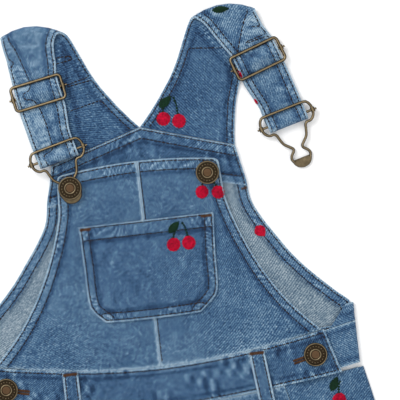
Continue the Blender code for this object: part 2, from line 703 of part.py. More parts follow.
def make_slider(name, place):
    """A rectangular wire frame with a bar across its middle, which the strap runs over."""
    corners = []
    for sx, sy, start in ((1, 1, 0), (-1, 1, 90), (-1, -1, 180), (1, -1, 270)):
        for k in range(4):
            angle = math.radians(start + 30 * k)
            across = sx * (SLIDER_HALF_LONG - SLIDER_CORNER) + SLIDER_CORNER * math.cos(angle)
            down = sy * (SLIDER_HALF_HIGH - SLIDER_CORNER) + SLIDER_CORNER * math.sin(angle)
            rise = mix(SLIDER_TOP, SLIDER_LOW, (down / SLIDER_HALF_HIGH + 1) / 2)
            corners.append(at(place, across, down, rise))
    frame = wire_mesh(f"{name}_frame", corners, WIRE, closed=True)
    ends = [at(place, sign * SLIDER_HALF_LONG, 0.0, SLIDER_BAR) for sign in (-1, 1)]
    bar = wire_mesh(f"{name}_bar", ends, BAR)
    collars = []
    for sign in (-1, 1):
        line = [at(place, sign * (SLIDER_HALF_LONG + 0.15), down, SLIDER_BAR + 0.3) for down in (-1.8, 1.8)]
        collars.append(wire_mesh(f"{name}_collar", line, 1.75))
    fused(name, [frame, bar] + collars)


def make_hook(name, place, heights):
    """A wire hook: a top wire over the strap, a waisted eye for the button and a tip plate."""
    base = place.left_base
    half = [at(place, p.across, p.down, hook_height(heights, p.down) - base) for p in HOOK_HALF]
    other = [at(place, -p.across, p.down, hook_height(heights, p.down) - base) for p in HOOK_HALF]
    line = smooth_line(list(reversed(other[1:])) + half, 2)
    wire = wire_mesh(f"{name}_wire", line, HOOK_WIRE)
    bar_height = hook_height(heights, HOOK_BAR_DOWN) - base
    bar = wire_mesh(f"{name}_bar", [at(place, s * 19.6, HOOK_BAR_DOWN, bar_height) for s in (-1, 1)], BAR)
    collars = []
    for sign in (-1, 1):
        line = [at(place, sign * 19.8, HOOK_BAR_DOWN + d, bar_height) for d in (-1.8, 1.8)]
        collars.append(wire_mesh(f"{name}_collar", line, 1.75))
    fused(name, [wire, bar] + collars + [tip_plate(name, place, hook_height(heights, HOOK_LENGTH) - base)])


def tip_plate(name, place, height):
    """The half-moon plate that closes the hook's tip."""
    outline = [(-7.2, 36.9), (7.2, 36.9)]
    for k in range(1, 9):
        angle = math.radians(20 * k)
        outline.append((7.2 * math.cos(angle), 37.4 + 6.7 * math.sin(angle)))
    work = bmesh.new()
    rings = [[work.verts.new(at(place, a, d, height + z)) for a, d in outline] for z in (-0.75, 0.85)]
    work.faces.new(rings[0])
    work.faces.new(rings[1])
    for k in range(len(outline)):
        m = (k + 1) % len(outline)
        work.faces.new([rings[0][k], rings[0][m], rings[1][m], rings[1][k]])
    return finish_mesh(f"{name}_plate", work)


def make_button(name, x, y, cloth_top, shank=SHANK_HIGH):
    """A tack button: a shank under a head with a raised rim and an inner ring."""
    radius = BUTTON / 2
    head = [(0.0, 1.35), (3.0, 1.35), (3.5, 1.8), (4.1, 1.8), (4.6, 1.2), (6.9, 1.3), (7.3, 1.8),
            (7.9, 1.85), (radius, 1.2), (radius - 0.3, 0.3), (7.4, 0.0), (SHANK, 0.0)]
    profile = [(r, z + shank) for r, z in head] + [(SHANK, 0.0), (0.0, 0.0)]
    turned(name, profile, 20, Vector((x, y, cloth_top + CLEAR)))


def make_buttons():
    bib_top = BIB_HIGH + DENIM + HEM_RISE
    wrapped_top = STRAP + 2 * FOLD
    for side, sign in (("left", -1), ("right", 1)):
        make_button(f"bib_button_{side}", sign * BIB_BUTTON_X, BIB_BUTTON_Y, bib_top)
        make_button(f"side_button_{side}", sign * SIDE_BUTTON_X, SIDE_BUTTON_Y, wrapped_top,
                    BAND + CLEAR + 0.6)


def main():
    for thing in list(bpy.data.objects):
        bpy.data.objects.remove(thing)
    make_back()
    make_side_underlaps()
    make_bib()
    make_bib_pocket()
    make_waistbands()
    make_belt_loops()
    make_legs()
    make_hip_facings()
    make_strap("right", RIGHT_FOLD, RIGHT_FALL, RIGHT_SLIDER, RIGHT_HOOK, RIGHT_HOOK_HIGH)
    make_strap("left", LEFT_FOLD, LEFT_FALL, LEFT_SLIDER, LEFT_HOOK, LEFT_HOOK_HIGH)
    make_slider("slider_right", RIGHT_SLIDER)
    make_slider("slider_left", LEFT_SLIDER)
    make_hook("hook_right", RIGHT_HOOK, RIGHT_HOOK_HIGH)
    make_hook("hook_left", LEFT_HOOK, LEFT_HOOK_HIGH)
    make_buttons()


main()
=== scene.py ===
"""Looks of the child's denim shortalls: cloth shells, sewing, embroidery and antique brass."""
import math
from collections import namedtuple

import bmesh
import bpy
import numpy as np
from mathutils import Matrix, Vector
from mathutils.bvhtree import BVHTree


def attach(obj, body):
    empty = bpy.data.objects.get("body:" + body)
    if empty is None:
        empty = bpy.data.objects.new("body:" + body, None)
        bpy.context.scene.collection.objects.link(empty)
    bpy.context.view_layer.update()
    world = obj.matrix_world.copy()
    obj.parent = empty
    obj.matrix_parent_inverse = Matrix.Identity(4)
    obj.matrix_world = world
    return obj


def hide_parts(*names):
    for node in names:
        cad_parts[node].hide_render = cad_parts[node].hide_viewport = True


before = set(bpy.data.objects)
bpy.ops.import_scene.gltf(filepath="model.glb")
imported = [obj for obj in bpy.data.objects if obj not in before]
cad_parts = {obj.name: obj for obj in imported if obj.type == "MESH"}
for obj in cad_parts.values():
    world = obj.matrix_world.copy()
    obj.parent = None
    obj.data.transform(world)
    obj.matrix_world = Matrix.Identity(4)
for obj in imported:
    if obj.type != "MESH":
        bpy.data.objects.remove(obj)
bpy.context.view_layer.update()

# All sizes are millimetres. X runs across the garment, Y up towards the straps, Z off the table.
MM = 0.001
CLEAR = 0.3
MID_HEIGHT = -113.8       # garment height that becomes Y = 0
SHIFT = np.array([0.0, -MID_HEIGHT, 0.0])

DENIM, FACING, STRAP, BAND = 1.2, 1.0, 1.4, 1.8
HEM = 7.0
SEAM_HALF = 0.15
BIB_TOP, BIB_TOP_DROP, BIB_CORNER = 14.0, 3.9, 4.0
WAIST_MID, WAIST_RISE, WAIST_HALF = -134.8, 12.9, 117.0
BAND_LOW_MID, BAND_LOW_RISE, BAND_LOW_HALF = -164.5, 11.1, 126.0
BAND_END_TOP, BAND_END_SLANT = 119.7, 9.3
LEG_LAYER = 1.5
BIB_HIGH, BIB_SINK_TOP, BIB_SINK_LOW = 3.3, -10.0, -36.0
NOTCH_X, NOTCH_Y = 4.9, 37.7
SHOULDER_Y = 17.2
SEAM_RIDGE = 8.5
FACING_END = 0.221
SIDE, BACK_SIDE = 143.0, 140.8
BACK_WAIST_SIDE, BACK_WAIST_RISE, BACK_BAND_HIGH = -118.0, 6.0, 30.0
FOLD, WRAP_END, WRAP_DROP = 1.2, 105.0, 0.2
HEM_IN, HEM_OUT, LEG_HEM = -347.0, -339.0, 20.0
SIDE_ROLL, BACK_LEG_INSET = 1.5, 2.2
BUTTON, SHANK, SHANK_HIGH, DOTS = 17.0, 2.2, 2.6, 18
WIRE, BAR, HOOK_WIRE, COLLAR, PIN = 1.1, 0.9, 1.0, 1.55, 0.7
COLLAR_HALF, HOOK_BAR_HALF = 1.8, 19.6

Row = namedtuple("Row", "height value")
FRONT_EDGE = [Row(10.3, 58.3), Row(-5.5, 59.2), Row(-16.6, 59.9), Row(-28.0, 62.6), Row(-42.2, 67.1),
              Row(-59.7, 74.3), Row(-77.4, 83.3), Row(-93.4, 93.5), Row(-106.6, 104.0), Row(-121.5, 118.2)]
BACK_EDGE = [Row(17.2, 71.6), Row(3.9, 74.2), Row(-7.5, 76.6), Row(-23.2, 78.6), Row(-35.9, 84.4),
             Row(-50.9, 93.8), Row(-64.9, 103.2), Row(-79.2, 115.5), Row(-95.5, 132.1), Row(-104.0, 141.0),
             Row(-118.0, 141.1)]
CENTRE_SHIFT = [Row(37.7, 4.9), Row(0.0, 4.9), Row(-60.0, 2.5), Row(-118.0, 0.0)]
LEG_SIDE = [Row(-150.0, 143.0), Row(-175.0, 149.0), Row(-205.0, 155.5), Row(-260.0, 162.0),
            Row(-339.0, 166.0)]
LEG_INSIDE = [Row(-164.0, SEAM_HALF), Row(-272.0, SEAM_HALF), Row(-283.0, 0.6), Row(-300.0, 4.5),
              Row(-347.0, 13.0)]
POCKET_MOUTH = [Row(-156.0, 86.3), Row(-163.5, 88.1), Row(-172.0, 90.4), Row(-184.0, 95.0),
                Row(-195.0, 102.5), Row(-204.0, 113.0), Row(-211.0, 127.0), Row(-216.0, 143.0),
                Row(-219.0, 155.5)]
POCKET_LEFT = [Row(-28.8, -46.9), Row(-57.0, -46.3), Row(-85.0, -45.6), Row(-92.0, -42.0), Row(-98.8, -35.0)]
POCKET_RIGHT = [Row(-28.8, 50.5), Row(-57.0, 48.6), Row(-85.0, 46.9), Row(-92.0, 41.5), Row(-98.8, 33.5)]
POCKET_TOP, POCKET_LOW = -28.8, -98.8

StrapRow = namedtuple("StrapRow", "left_x left_y right_x right_y left_z right_z bulge")
FLAT = STRAP / 2
STRAP_BACK = [
    StrapRow(5.1, 38.1, 71.6, 17.6, FLAT, FLAT, 0.0),
    StrapRow(11.6, 45.4, 72.4, 27.0, FLAT, FLAT, 0.0),
    StrapRow(19.1, 54.7, 74.0, 38.0, FLAT, FLAT, 0.0),
    StrapRow(25.0, 62.8, 76.2, 49.5, FLAT, FLAT, 0.0),
    StrapRow(30.6, 71.0, 79.6, 60.5, FLAT, FLAT, 0.0),
    StrapRow(36.6, 82.0, 83.6, 73.5, FLAT, FLAT, 0.0),
    StrapRow(41.9, 94.0, 88.0, 88.5, FLAT, FLAT, 1.0),
    StrapRow(46.3, 104.0, 92.6, 102.5, FLAT, FLAT, 3.0),
]
RIGHT_FOLD = [
    StrapRow(48.6, 108.6, 96.2, 110.4, 0.0, 0.0, 6.6),
    StrapRow(54.5, 110.6, 97.2, 111.2, 0.0, 0.0, 6.0),
]
RIGHT_FALL = [
    StrapRow(59.5, 106.2, 99.3, 105.8, 3.4, 3.4, 3.6),
    StrapRow(64.0, 99.5, 101.3, 100.6, 2.6, 2.5, 1.2),
    StrapRow(68.9, 91.5, 103.4, 97.4, 3.0, 2.1, 0.0),
]
LEFT_FOLD = [
    StrapRow(-86.4, 110.4, -38.8, 108.6, 0.0, 0.0, 6.6),
    StrapRow(-87.0, 111.2, -47.0, 110.6, 0.0, 0.0, 6.0),
]
LEFT_FALL = [
    StrapRow(-86.2, 104.5, -49.5, 105.0, 3.4, 3.4, 3.0),
    StrapRow(-84.6, 96.0, -50.0, 98.0, 2.5, 2.5, 1.0),
    StrapRow(-83.6, 87.0, -49.7, 91.5, 2.4, 2.4, 0.0),
]
FOLD_STEPS, FOLD_HALF, STRAP_COLUMNS = 5, 1.85, 5

Place = namedtuple("Place", "x y turn left_base right_base")
RIGHT_SLIDER = Place(94.8, 77.0, 19.5, 3.0, 0.0)
LEFT_SLIDER = Place(-64.6, 70.6, 10.5, 1.7, 1.7)
RIGHT_HOOK = Place(108.7, 38.7, 15.0, 0.0, 0.0)
LEFT_HOOK = Place(-57.8, 31.8, 14.0, 1.7, 1.7)
SLIDER_HALF_LONG, SLIDER_HALF_HIGH, SLIDER_CORNER = 18.5, 8.85, 2.6
SLIDER_TOP, SLIDER_LOW, SLIDER_BAR = 2.8, 4.5, 3.2
STRAP_AT_SLIDER, STRAP_AT_HOOK = 16.2, 14.6
HOOK_BAR_DOWN, HOOK_LENGTH = 7.8, 44.0
FOLD_END, RETURN_SHIFT = 12.6, -0.8
RIGHT_HOOK_HIGH, LEFT_HOOK_HIGH = (4.6, 1.0), (6.5, 6.5)
HookPoint = namedtuple("HookPoint", "across down")
HOOK_HALF = [HookPoint(0.0, 0.0), HookPoint(14.5, 0.1), HookPoint(17.8, 1.3), HookPoint(19.4, 4.4),
             HookPoint(19.6, 8.0), HookPoint(18.7, 11.6), HookPoint(16.0, 14.1), HookPoint(12.8, 14.4),
             HookPoint(11.1, 15.9), HookPoint(10.3, 18.9), HookPoint(8.7, 23.4), HookPoint(5.5, 26.8),
             HookPoint(3.6, 28.9), HookPoint(3.9, 30.8), HookPoint(6.2, 33.2), HookPoint(7.1, 36.0),
             HookPoint(6.0, 38.6)]
LOOP_WIDE, LOOP_LONG = 11.3, 41.0
LOOP_TOPS = {"right": (69.7, -131.0, 4.0), "left": (-64.9, -131.0, 0.0)}
SIDE_BUTTON_X, SIDE_BUTTON_Y = 111.5, -138.5
BIB_BUTTON_X, BIB_BUTTON_Y = 49.5, 0.0
HOLE_LONG, HOLE_SLANT = 16.0, 14.0

# Soft creases of the front layer: a ridge from one point to another, its height and half width
Crease = namedtuple("Crease", "x y end_x end_y height width")
CREASES = [
    Crease(64.0, -30.0, 58.0, -74.0, 0.9, 5.0), Crease(56.0, -52.0, 60.0, -104.0, 0.6, 7.0),
    Crease(84.0, -92.0, 62.0, -112.0, 1.0, 5.5), Crease(100.0, -112.0, 78.0, -124.0, 0.9, 4.5),
    Crease(-64.0, -36.0, -60.0, -80.0, 0.8, 5.5), Crease(-82.0, -90.0, -58.0, -112.0, 1.0, 6.0),
    Crease(-54.0, -58.0, -56.0, -104.0, 0.5, 6.5), Crease(10.0, -106.0, 42.0, -122.0, 0.8, 6.0),
    Crease(-12.0, -108.0, -38.0, -122.0, 0.6, 6.5), Crease(30.0, -14.0, 8.0, -22.0, 0.5, 5.0),
    Crease(-28.0, -14.0, -8.0, -20.0, 0.4, 5.0),
    Crease(8.0, -186.0, 70.0, -206.0, 1.4, 9.0), Crease(-8.0, -190.0, -66.0, -204.0, 1.2, 8.0),
    Crease(14.0, -262.0, 88.0, -236.0, 1.6, 10.0), Crease(-12.0, -266.0, -92.0, -244.0, 1.7, 11.0),
    Crease(20.0, -288.0, 96.0, -292.0, 1.2, 9.0), Crease(-24.0, -284.0, -80.0, -302.0, 1.3, 8.0),
    Crease(120.0, -240.0, 132.0, -318.0, 1.2, 12.0), Crease(-118.0, -236.0, -136.0, -312.0, 1.1, 13.0),
    Crease(58.0, -300.0, 66.0, -338.0, 0.9, 9.0), Crease(-60.0, -306.0, -54.0, -340.0, 0.8, 8.0),
]


def mix(start, end, share):
    return start + (end - start) * share


def curve(a, b, slope_a, slope_b, t):
    """A smooth curve from a to b with a slope at each end."""
    return ((2 * t**3 - 3 * t**2 + 1) * a + (t**3 - 2 * t**2 + t) * slope_a
            + (3 * t**2 - 2 * t**3) * b + (t**3 - t**2) * slope_b)


def ease(share):
    """Smooth step from 0 to 1, for numbers and arrays."""
    share = np.clip(share, 0.0, 1.0)
    return share * share * (3 - 2 * share)


def hump(value, width):
    """A soft bump of height 1 about zero."""
    return np.exp(-((value / width) ** 2))


def read(table, height):
    """The value at a height, on a smooth curve through a table whose heights fall."""
    if height >= table[0].height:
        return table[0].value
    for i in range(len(table) - 1):
        if height >= table[i + 1].height:
            break
    else:
        return table[-1].value
    a, b = table[i], table[i + 1]
    before = table[max(i - 1, 0)]
    after = table[min(i + 2, len(table) - 1)]
    span = b.height - a.height
    slope_a = (b.value - before.value) / (b.height - before.height) * span
    slope_b = (after.value - a.value) / (after.height - a.height) * span
    return curve(a.value, b.value, slope_a, slope_b, (height - a.height) / span)


def widen(table, height):
    slope = (read(table, height + 2) - read(table, height - 2)) / 4
    return math.sqrt(1 + slope * slope)


def waist_line(x):
    return WAIST_MID + WAIST_RISE * (abs(x) / WAIST_HALF) ** 1.9


def band_low_line(x):
    return BAND_LOW_MID + BAND_LOW_RISE * (abs(x) / BAND_LOW_HALF) ** 1.6


def back_waist_line(x):
    return BACK_WAIST_SIDE - BACK_WAIST_RISE * (1 - (abs(x) / SIDE) ** 2)


def bib_under(y):
    return mix(LEG_LAYER, BIB_HIGH, ease((y - BIB_SINK_LOW) / (BIB_SINK_TOP - BIB_SINK_LOW)))


def front_band_under(x):
    over_wrap = STRAP + 2 * FOLD + CLEAR + 0.1
    return mix(STRAP + CLEAR, over_wrap, ease((abs(x) - 90) / 12))


def lie(x, y):
    """How far the front layer stands off what it lies on, in its soft creases."""
    total = 0.0
    for c in CREASES:
        dx, dy = c.end_x - c.x, c.end_y - c.y
        share = min(max(((x - c.x) * dx + (y - c.y) * dy) / (dx * dx + dy * dy), 0.0), 1.0)
        away = math.hypot(x - c.x - dx * share, y - c.y - dy * share)
        if away < 3 * c.width:
            fading = 0.35 + 0.65 * math.sin(math.pi * share)
            total += c.height * math.exp(-((away / c.width) ** 2)) * fading
    return total


def grid_of(function, rows, columns):
    """An array of points from a function of two shares, rows down and columns across."""
    return np.array([[function(i / (rows - 1), j / (columns - 1)) for j in range(columns)]
                     for i in range(rows)], dtype=float)


def mirrored(grid, centre=0.0):
    turned_over = grid[:, ::-1].copy()
    turned_over[..., 0] = 2 * centre - turned_over[..., 0]
    return turned_over


def unit(vectors):
    return vectors / np.maximum(np.linalg.norm(vectors, axis=-1, keepdims=True), 1e-9)


def heading(turn):
    """The direction at an angle in degrees, and the one square to it."""
    direction = np.array([math.cos(math.radians(turn)), math.sin(math.radians(turn))])
    return direction, np.array([-direction[1], direction[0]])


def edge_view(grid, edge):
    """The grid turned so that the named edge is its first column."""
    turned_grid = grid if edge in ("left", "right") else np.swapaxes(grid, 0, 1)
    return turned_grid[:, ::-1] if edge in ("right", "bottom") else turned_grid


def from_edge(grid, edge):
    """Distance of each point from an edge, and the place along that edge of its nearest point."""
    line = edge_view(grid, edge)[:, 0]
    steps = np.diff(line, axis=0)
    lengths = np.maximum(np.linalg.norm(steps, axis=1), 1e-9)
    travel = np.concatenate([[0.0], np.cumsum(lengths)])
    points = grid.reshape(-1, 3)
    best = np.full(len(points), np.inf)
    along = np.zeros(len(points))
    for start, step, length, before in zip(line, steps, lengths, travel):
        share = np.clip(((points - start) @ step) / length**2, 0.0, 1.0)
        away = np.linalg.norm(points - start - share[:, None] * step, axis=1)
        nearer = away < best
        best[nearer] = away[nearer]
        along[nearer] = before + share[nearer] * length
    return best.reshape(grid.shape[:2]), along.reshape(grid.shape[:2])


def roping(along, distance, seed):
    """Uneven diagonal puckers along a seam, from -1 to 1."""
    wander = 0.8 * np.sin(along / 8.3 + seed) + 0.5 * np.sin(along / 3.7 + 2 * seed)
    phase = (along + 0.8 * distance) / 4.6 + wander
    finer_phase = (along - 0.3 * distance) / 2.7 + 0.9 * np.sin(along / 5.9 + 4 * seed)
    swell = 0.45 + 0.4 * np.sin(along / 11.0 + 3 * seed) + 0.3 * np.sin(along / 4.9 + seed)
    swell = np.clip(swell, 0.08, 1.0)
    return (0.7 * np.sin(2 * math.pi * phase) + 0.5 * np.sin(2 * math.pi * finer_phase)) * swell


def crumple(grid, axis, height, wear_and_shade, seed):
    """Short uneven wrinkles square to an axis of the garment, as more height and a tone that follows them:
    real fade on the crests, painted shade in the troughs.
    """
    over, beside = grid[..., axis], grid[..., 1 - axis]
    drift = 2.2 * np.sin(beside / 6.1 + seed) + 1.3 * np.sin(over / 13.0 + 2 * seed)
    wave = np.sin(over / 1.9 + drift) + 0.7 * np.sin(over / 1.05 - 1.4 * drift + seed)
    patchy = (np.sin(over / 9.0 + seed) * np.sin(beside / 5.3 + over / 21.0)
              + 0.4 * np.sin(over / 23.0 + 3 * seed))
    amount = np.clip(patchy + 0.2, 0.0, 0.8)
    # The tone follows the wrinkles: real fade on the crests, painted shade in the troughs.
    return height * wave * amount / 1.8, wear_and_shade * wave * amount / 1.8


# A seam along an edge: hem width and rise, distances of its stitch rows, pucker height
Seam = namedtuple("Seam", "edge hem rise rows pucker")
SIDES = ("left", "right")
panels = {}


def along_edges(edges, hem, rise, rows, pucker):
    """The same seam along several edges."""
    return [Seam(edge, hem, rise, rows, pucker) for edge in edges]


def placed(name, data):
    """A new object, linked to the scene."""
    body = bpy.data.objects.new(name, data)
    bpy.context.scene.collection.objects.link(body)
    return body


def mesh_of(name, points, faces):
    mesh = bpy.data.meshes.new(name)
    mesh.from_pydata(points, [], faces)
    return mesh


def baked(body):
    """An object's mesh with its modifier or wire thickness worked in."""
    bpy.context.view_layer.update()
    return bpy.data.meshes.new_from_object(body.evaluated_get(bpy.context.evaluated_depsgraph_get()))


def relief(grid, seams, seed):
    """Height of the outer side over the plain wall, and its tone from 0 to 1: lighter where worn, darker
    with painted shade beside hems, along stitch rows and in pucker hollows.
    """
    height = np.zeros(grid.shape[:2])
    wear_and_shade = np.full(grid.shape[:2], 0.5)
    inside = np.zeros(grid.shape[:2])
    for count, seam in enumerate(seams):
        distance, along = from_edge(grid, seam.edge)
        pucker = roping(along, distance, seed + count)
        middle = seam.hem * 0.55 if seam.hem else 3.0
        window = hump(distance - middle, max(seam.hem * 0.62, 2.6))
        ridge = seam.rise * ease((seam.hem + 0.6 - distance) / 1.2)
        height = np.maximum(height, ridge * ease((distance + 0.5) / 1.4))
        height += seam.pucker * window * pucker * 0.5
        # Roping: real fade on the pucker ridges, painted shade in their hollows.
        wear_and_shade += 0.34 * window * pucker * (seam.pucker / 0.3)
        wear_and_shade += 0.58 * hump(distance - 0.2, 1.0)
        wear_and_shade += 0.10 * window * (seam.hem > 0)
        # Painted shade: a darker band just past the raised edge of the hem.
        wear_and_shade -= 0.30 * hump(distance - seam.hem - 1.2, 1.3) * (seam.hem > 0)
        for row in seam.rows:
            height -= 0.2 * hump(distance - row, 0.55)
            # Painted shade in the groove that each stitch row presses into the cloth.
            wear_and_shade -= 0.16 * hump(distance - row, 0.8)
        inside = np.maximum(inside, (distance < seam.hem).astype(float))
    return height, np.clip(wear_and_shade, 0.0, 1.0), inside


def shell(name, grid, thickness, replaces, seams=(), seed=1.0, face=None, extra=None, both=False, wash=0.0):
    """A closed thin cloth shell about a grid of middle points, with relief on the side that shows.

    The face says where the outer side shows the right side of the cloth; cloth sewn double has
    both sides right. The wash makes a piece paler or darker than the others.
    """
    along = np.gradient(grid, axis=0)
    across = np.gradient(grid, axis=1)
    normal = unit(np.cross(along, across))
    height, wear_and_shade, hemmed = relief(grid, seams, seed)
    if extra is not None:
        more_height, more_wear_and_shade = extra(grid)
        height = height + more_height
        wear_and_shade = np.clip(wear_and_shade + more_wear_and_shade, 0, 1)
    height = np.maximum(height, -0.3)
    wear_and_shade = np.clip(wear_and_shade + wash, 0, 1)
    outer = grid + normal * (thickness / 2 + height)[..., None]
    inner = grid - normal * (thickness / 2 + height * both)[..., None]
    rows, columns = grid.shape[:2]
    points = np.concatenate([outer.reshape(-1, 3), inner.reshape(-1, 3)]) + SHIFT
    points[:, 2] = np.maximum(points[:, 2], 0.0)
    index = np.arange(rows * columns).reshape(rows, columns)
    a, b, c, d = index[:-1, :-1], index[1:, :-1], index[1:, 1:], index[:-1, 1:]
    top = np.stack([a, b, c, d], axis=-1).reshape(-1, 4)
    under = np.stack([a, d, c, b], axis=-1).reshape(-1, 4) + rows * columns
    rim = np.concatenate([index[0, :], index[1:, -1], index[-1, -2::-1], index[-2:0:-1, 0]])
    following = np.roll(rim, -1)
    lower = rows * columns
    sides = np.stack([rim, following, following + lower, rim + lower], axis=-1)
    mesh = mesh_of(name, (points * MM).tolist(), np.concatenate([top, under, sides]).tolist())
    right = np.ones(wear_and_shade.size)
    outside = right if face is None else face(hemmed).ravel()
    inside_face = right if both or face is not None else np.zeros(wear_and_shade.size)
    put_attribute(mesh, "wear_and_shade", np.concatenate([wear_and_shade.ravel(), wear_and_shade.ravel()]))
    put_attribute(mesh, "face", np.concatenate([outside, inside_face]))
    put_cloth_map(mesh, grid)
    mesh.shade_smooth()
    mesh.set_sharp_from_angle(angle=math.radians(55))
    mesh.materials.append(denim_material())
    piece = placed(name, mesh)
    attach(piece, "root")
    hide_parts(*replaces)
    panels[name] = {"piece": piece, "outer": outer, "grid": grid, "normal": normal, "seams": seams}
    return piece


def shell_pair(name, grid, seams, first_seed, **looks):
    """The right piece of a kind and, mirrored, the left one."""
    for count, (side, side_grid) in enumerate((("right", grid), ("left", mirrored(grid)))):
        piece = f"{name}_{side}"
        shell(f"{piece}_cloth", side_grid, DENIM, [piece], seams, first_seed + count, **looks)


def put_attribute(mesh, name, values):
    layer = mesh.attributes.new(name, "FLOAT", "POINT")
    layer.data.foreach_set("value", np.asarray(values, dtype=np.float32))


def put_cloth_map(mesh, grid):
    """Cloth coordinates in metres, across and along the piece, for weave that follows its grain."""
    widths = np.linalg.norm(np.diff(grid, axis=1), axis=2).sum(axis=1).mean()
    lengths = np.linalg.norm(np.diff(grid, axis=0), axis=2).mean(axis=1)
    rows, columns = grid.shape[:2]
    u = np.tile(np.linspace(0, widths, columns), (rows, 1))
    v = np.repeat(np.concatenate([[0.0], np.cumsum(lengths)])[:, None], columns, axis=1)
    spots = np.stack([u, v], axis=-1).reshape(-1, 2) * MM
    spots = np.concatenate([spots, spots])
    corner = np.empty(len(mesh.loops), dtype=np.int64)
    mesh.loops.foreach_get("vertex_index", corner)
    layer = mesh.uv_layers.new(name="cloth")
    layer.data.foreach_set("uv", spots[corner].astype(np.float32).ravel())


def tree_of(material_name):
    made = bpy.data.materials.new(material_name)
    made.use_nodes = True
    tree = made.node_tree
    return made, tree, tree.nodes["Principled BSDF"]


def put(tree, node, settings):
    """Links or sets a node's inputs by name, and sets its other properties."""
    for key, value in settings.items():
        if key not in node.inputs:
            setattr(node, key, value)
        elif isinstance(value, bpy.types.NodeSocket):
            tree.links.new(value, node.inputs[key])
        else:
            node.inputs[key].default_value = value


def add(tree, kind, **settings):
    node = tree.nodes.new(kind)
    put(tree, node, settings)
    return node


def attribute(tree, name):
    return add(tree, "ShaderNodeAttribute", attribute_name=name).outputs["Fac"]


def maths(tree, operation, *values):
    """The result of a maths node on sockets or numbers."""
    node = tree.nodes.new("ShaderNodeMath")
    node.operation = operation
    for socket, value in zip(node.inputs, values):
        if isinstance(value, bpy.types.NodeSocket):
            tree.links.new(value, socket)
        else:
            socket.default_value = value
    return node.outputs[0]


def ramp(tree, factor, stops):
    node = tree.nodes.new("ShaderNodeValToRGB")
    while len(node.color_ramp.elements) < len(stops):
        node.color_ramp.elements.new(0.5)
    for element, (position, colour) in zip(node.color_ramp.elements, stops):
        element.position = position
        element.color = (*colour, 1.0)
    tree.links.new(factor, node.inputs["Fac"])
    return node.outputs["Color"]


def srgb(red, green, blue):
    """Linear colour from 8-bit screen values."""
    parts = [value / 255 for value in (red, green, blue)]
    return tuple(p / 12.92 if p <= 0.04045 else ((p + 0.055) / 1.055) ** 2.4 for p in parts)


def noise(tree, coordinates, scale, detail=2.0, roughness=0.5):
    node = add(tree, "ShaderNodeTexNoise", Vector=coordinates, Scale=scale, Detail=detail,
               Roughness=roughness)
    return node.outputs["Fac"]


def stretched(tree, coordinates, scale):
    node = add(tree, "ShaderNodeMapping", vector_type="POINT", Vector=coordinates, Scale=scale)
    return node.outputs["Vector"]


# Colours of the right and the wrong side, from the darkest grain and painted shade to the most worn
BLUE = [(0.0, srgb(12, 32, 58)), (0.28, srgb(34, 64, 98)), (0.5, srgb(55, 89, 122)),
        (0.72, srgb(92, 123, 149)), (1.0, srgb(152, 174, 190))]
PALE = [(0.0, srgb(44, 66, 88)), (0.3, srgb(78, 100, 120)), (0.5, srgb(108, 128, 142)),
        (0.75, srgb(146, 160, 170)), (1.0, srgb(188, 196, 202))]
# How much each part of the grain, the wear and the painted shade adds to the tone
GRAIN = {"thread": 0.28, "slub": 0.8, "speck": 0.9, "patch": 0.3, "wash": 0.35, "twill": 0.3, "wear_and_shade": 0.85}
# Width of a twill rib in metres, and cells of thread to a metre
RIB_ACROSS, RIB_ALONG = 0.0019, 0.0017
THREADS_ACROSS, THREADS_ALONG, THREAD_ROWS = 1450.0, 700.0, 950.0
# Dark and light of each thread and the fineness of its strands
Thread = namedtuple("Thread", "dark light scale")
THREADS = {"brown_thread": Thread(srgb(20, 17, 18), srgb(58, 46, 40), 1500.0),
           "rust_thread": Thread(srgb(52, 34, 25), srgb(104, 72, 48), 1500.0),
           "cherry_thread": Thread(srgb(92, 0, 22), srgb(212, 12, 56), 700.0),
           "leaf_thread": Thread(srgb(6, 24, 16), srgb(24, 58, 38), 900.0)}
# Dark patina, painted highlight colour and roughness of each brass
Brass = namedtuple("Brass", "dark light roughness")
BRASSES = {"bright_brass": Brass(srgb(28, 23, 17), srgb(146, 130, 102), 0.36),
           "dark_brass": Brass(srgb(14, 12, 9), srgb(62, 52, 39), 0.55),
           "brown_brass": Brass(srgb(38, 27, 19), srgb(100, 78, 58), 0.45)}
made_materials = {}


def twill_ribs(tree, across, along):
    """Fine diagonal ribs, from 0 to 1."""
    diagonal = maths(tree, "ADD", maths(tree, "MULTIPLY", across, 2 * math.pi / RIB_ACROSS),
                     maths(tree, "MULTIPLY", along, 2 * math.pi / RIB_ALONG))
    return maths(tree, "MULTIPLY_ADD", maths(tree, "SINE", diagonal), 0.5, 0.5)


def thread_cells(tree, across, along):
    """A random tone for each short length of thread, in slanting columns."""
    slanting = maths(tree, "ADD", maths(tree, "MULTIPLY", across, THREADS_ACROSS),
                     maths(tree, "MULTIPLY", along, THREADS_ALONG))
    rows = maths(tree, "MULTIPLY", along, THREAD_ROWS)
    cell = add(tree, "ShaderNodeCombineXYZ", X=maths(tree, "FLOOR", slanting), Y=maths(tree, "FLOOR", rows))
    return add(tree, "ShaderNodeTexWhiteNoise", Vector=cell.outputs[0]).outputs["Value"]


def grain_parts(tree):
    """The parts of the grain by name, each a value from 0 to 1."""
    cloth_map = add(tree, "ShaderNodeUVMap", uv_map="cloth").outputs["UV"]
    place = add(tree, "ShaderNodeTexCoord").outputs["Object"]
    ways = add(tree, "ShaderNodeSeparateXYZ", Vector=cloth_map).outputs
    return {"thread": thread_cells(tree, ways["X"], ways["Y"]),
            "slub": noise(tree, stretched(tree, cloth_map, (1400.0, 420.0, 1.0)), 1.0, 3.0, 0.6),
            "speck": noise(tree, stretched(tree, cloth_map, (1080.0, 900.0, 1.0)), 1.0, 2.0, 0.7),
            "patch": noise(tree, place, 120.0, 3.0, 0.55),
            "wash": noise(tree, place, 22.0, 2.0, 0.5),
            "twill": twill_ribs(tree, ways["X"], ways["Y"]),
            "wear_and_shade": attribute(tree, "wear_and_shade")}


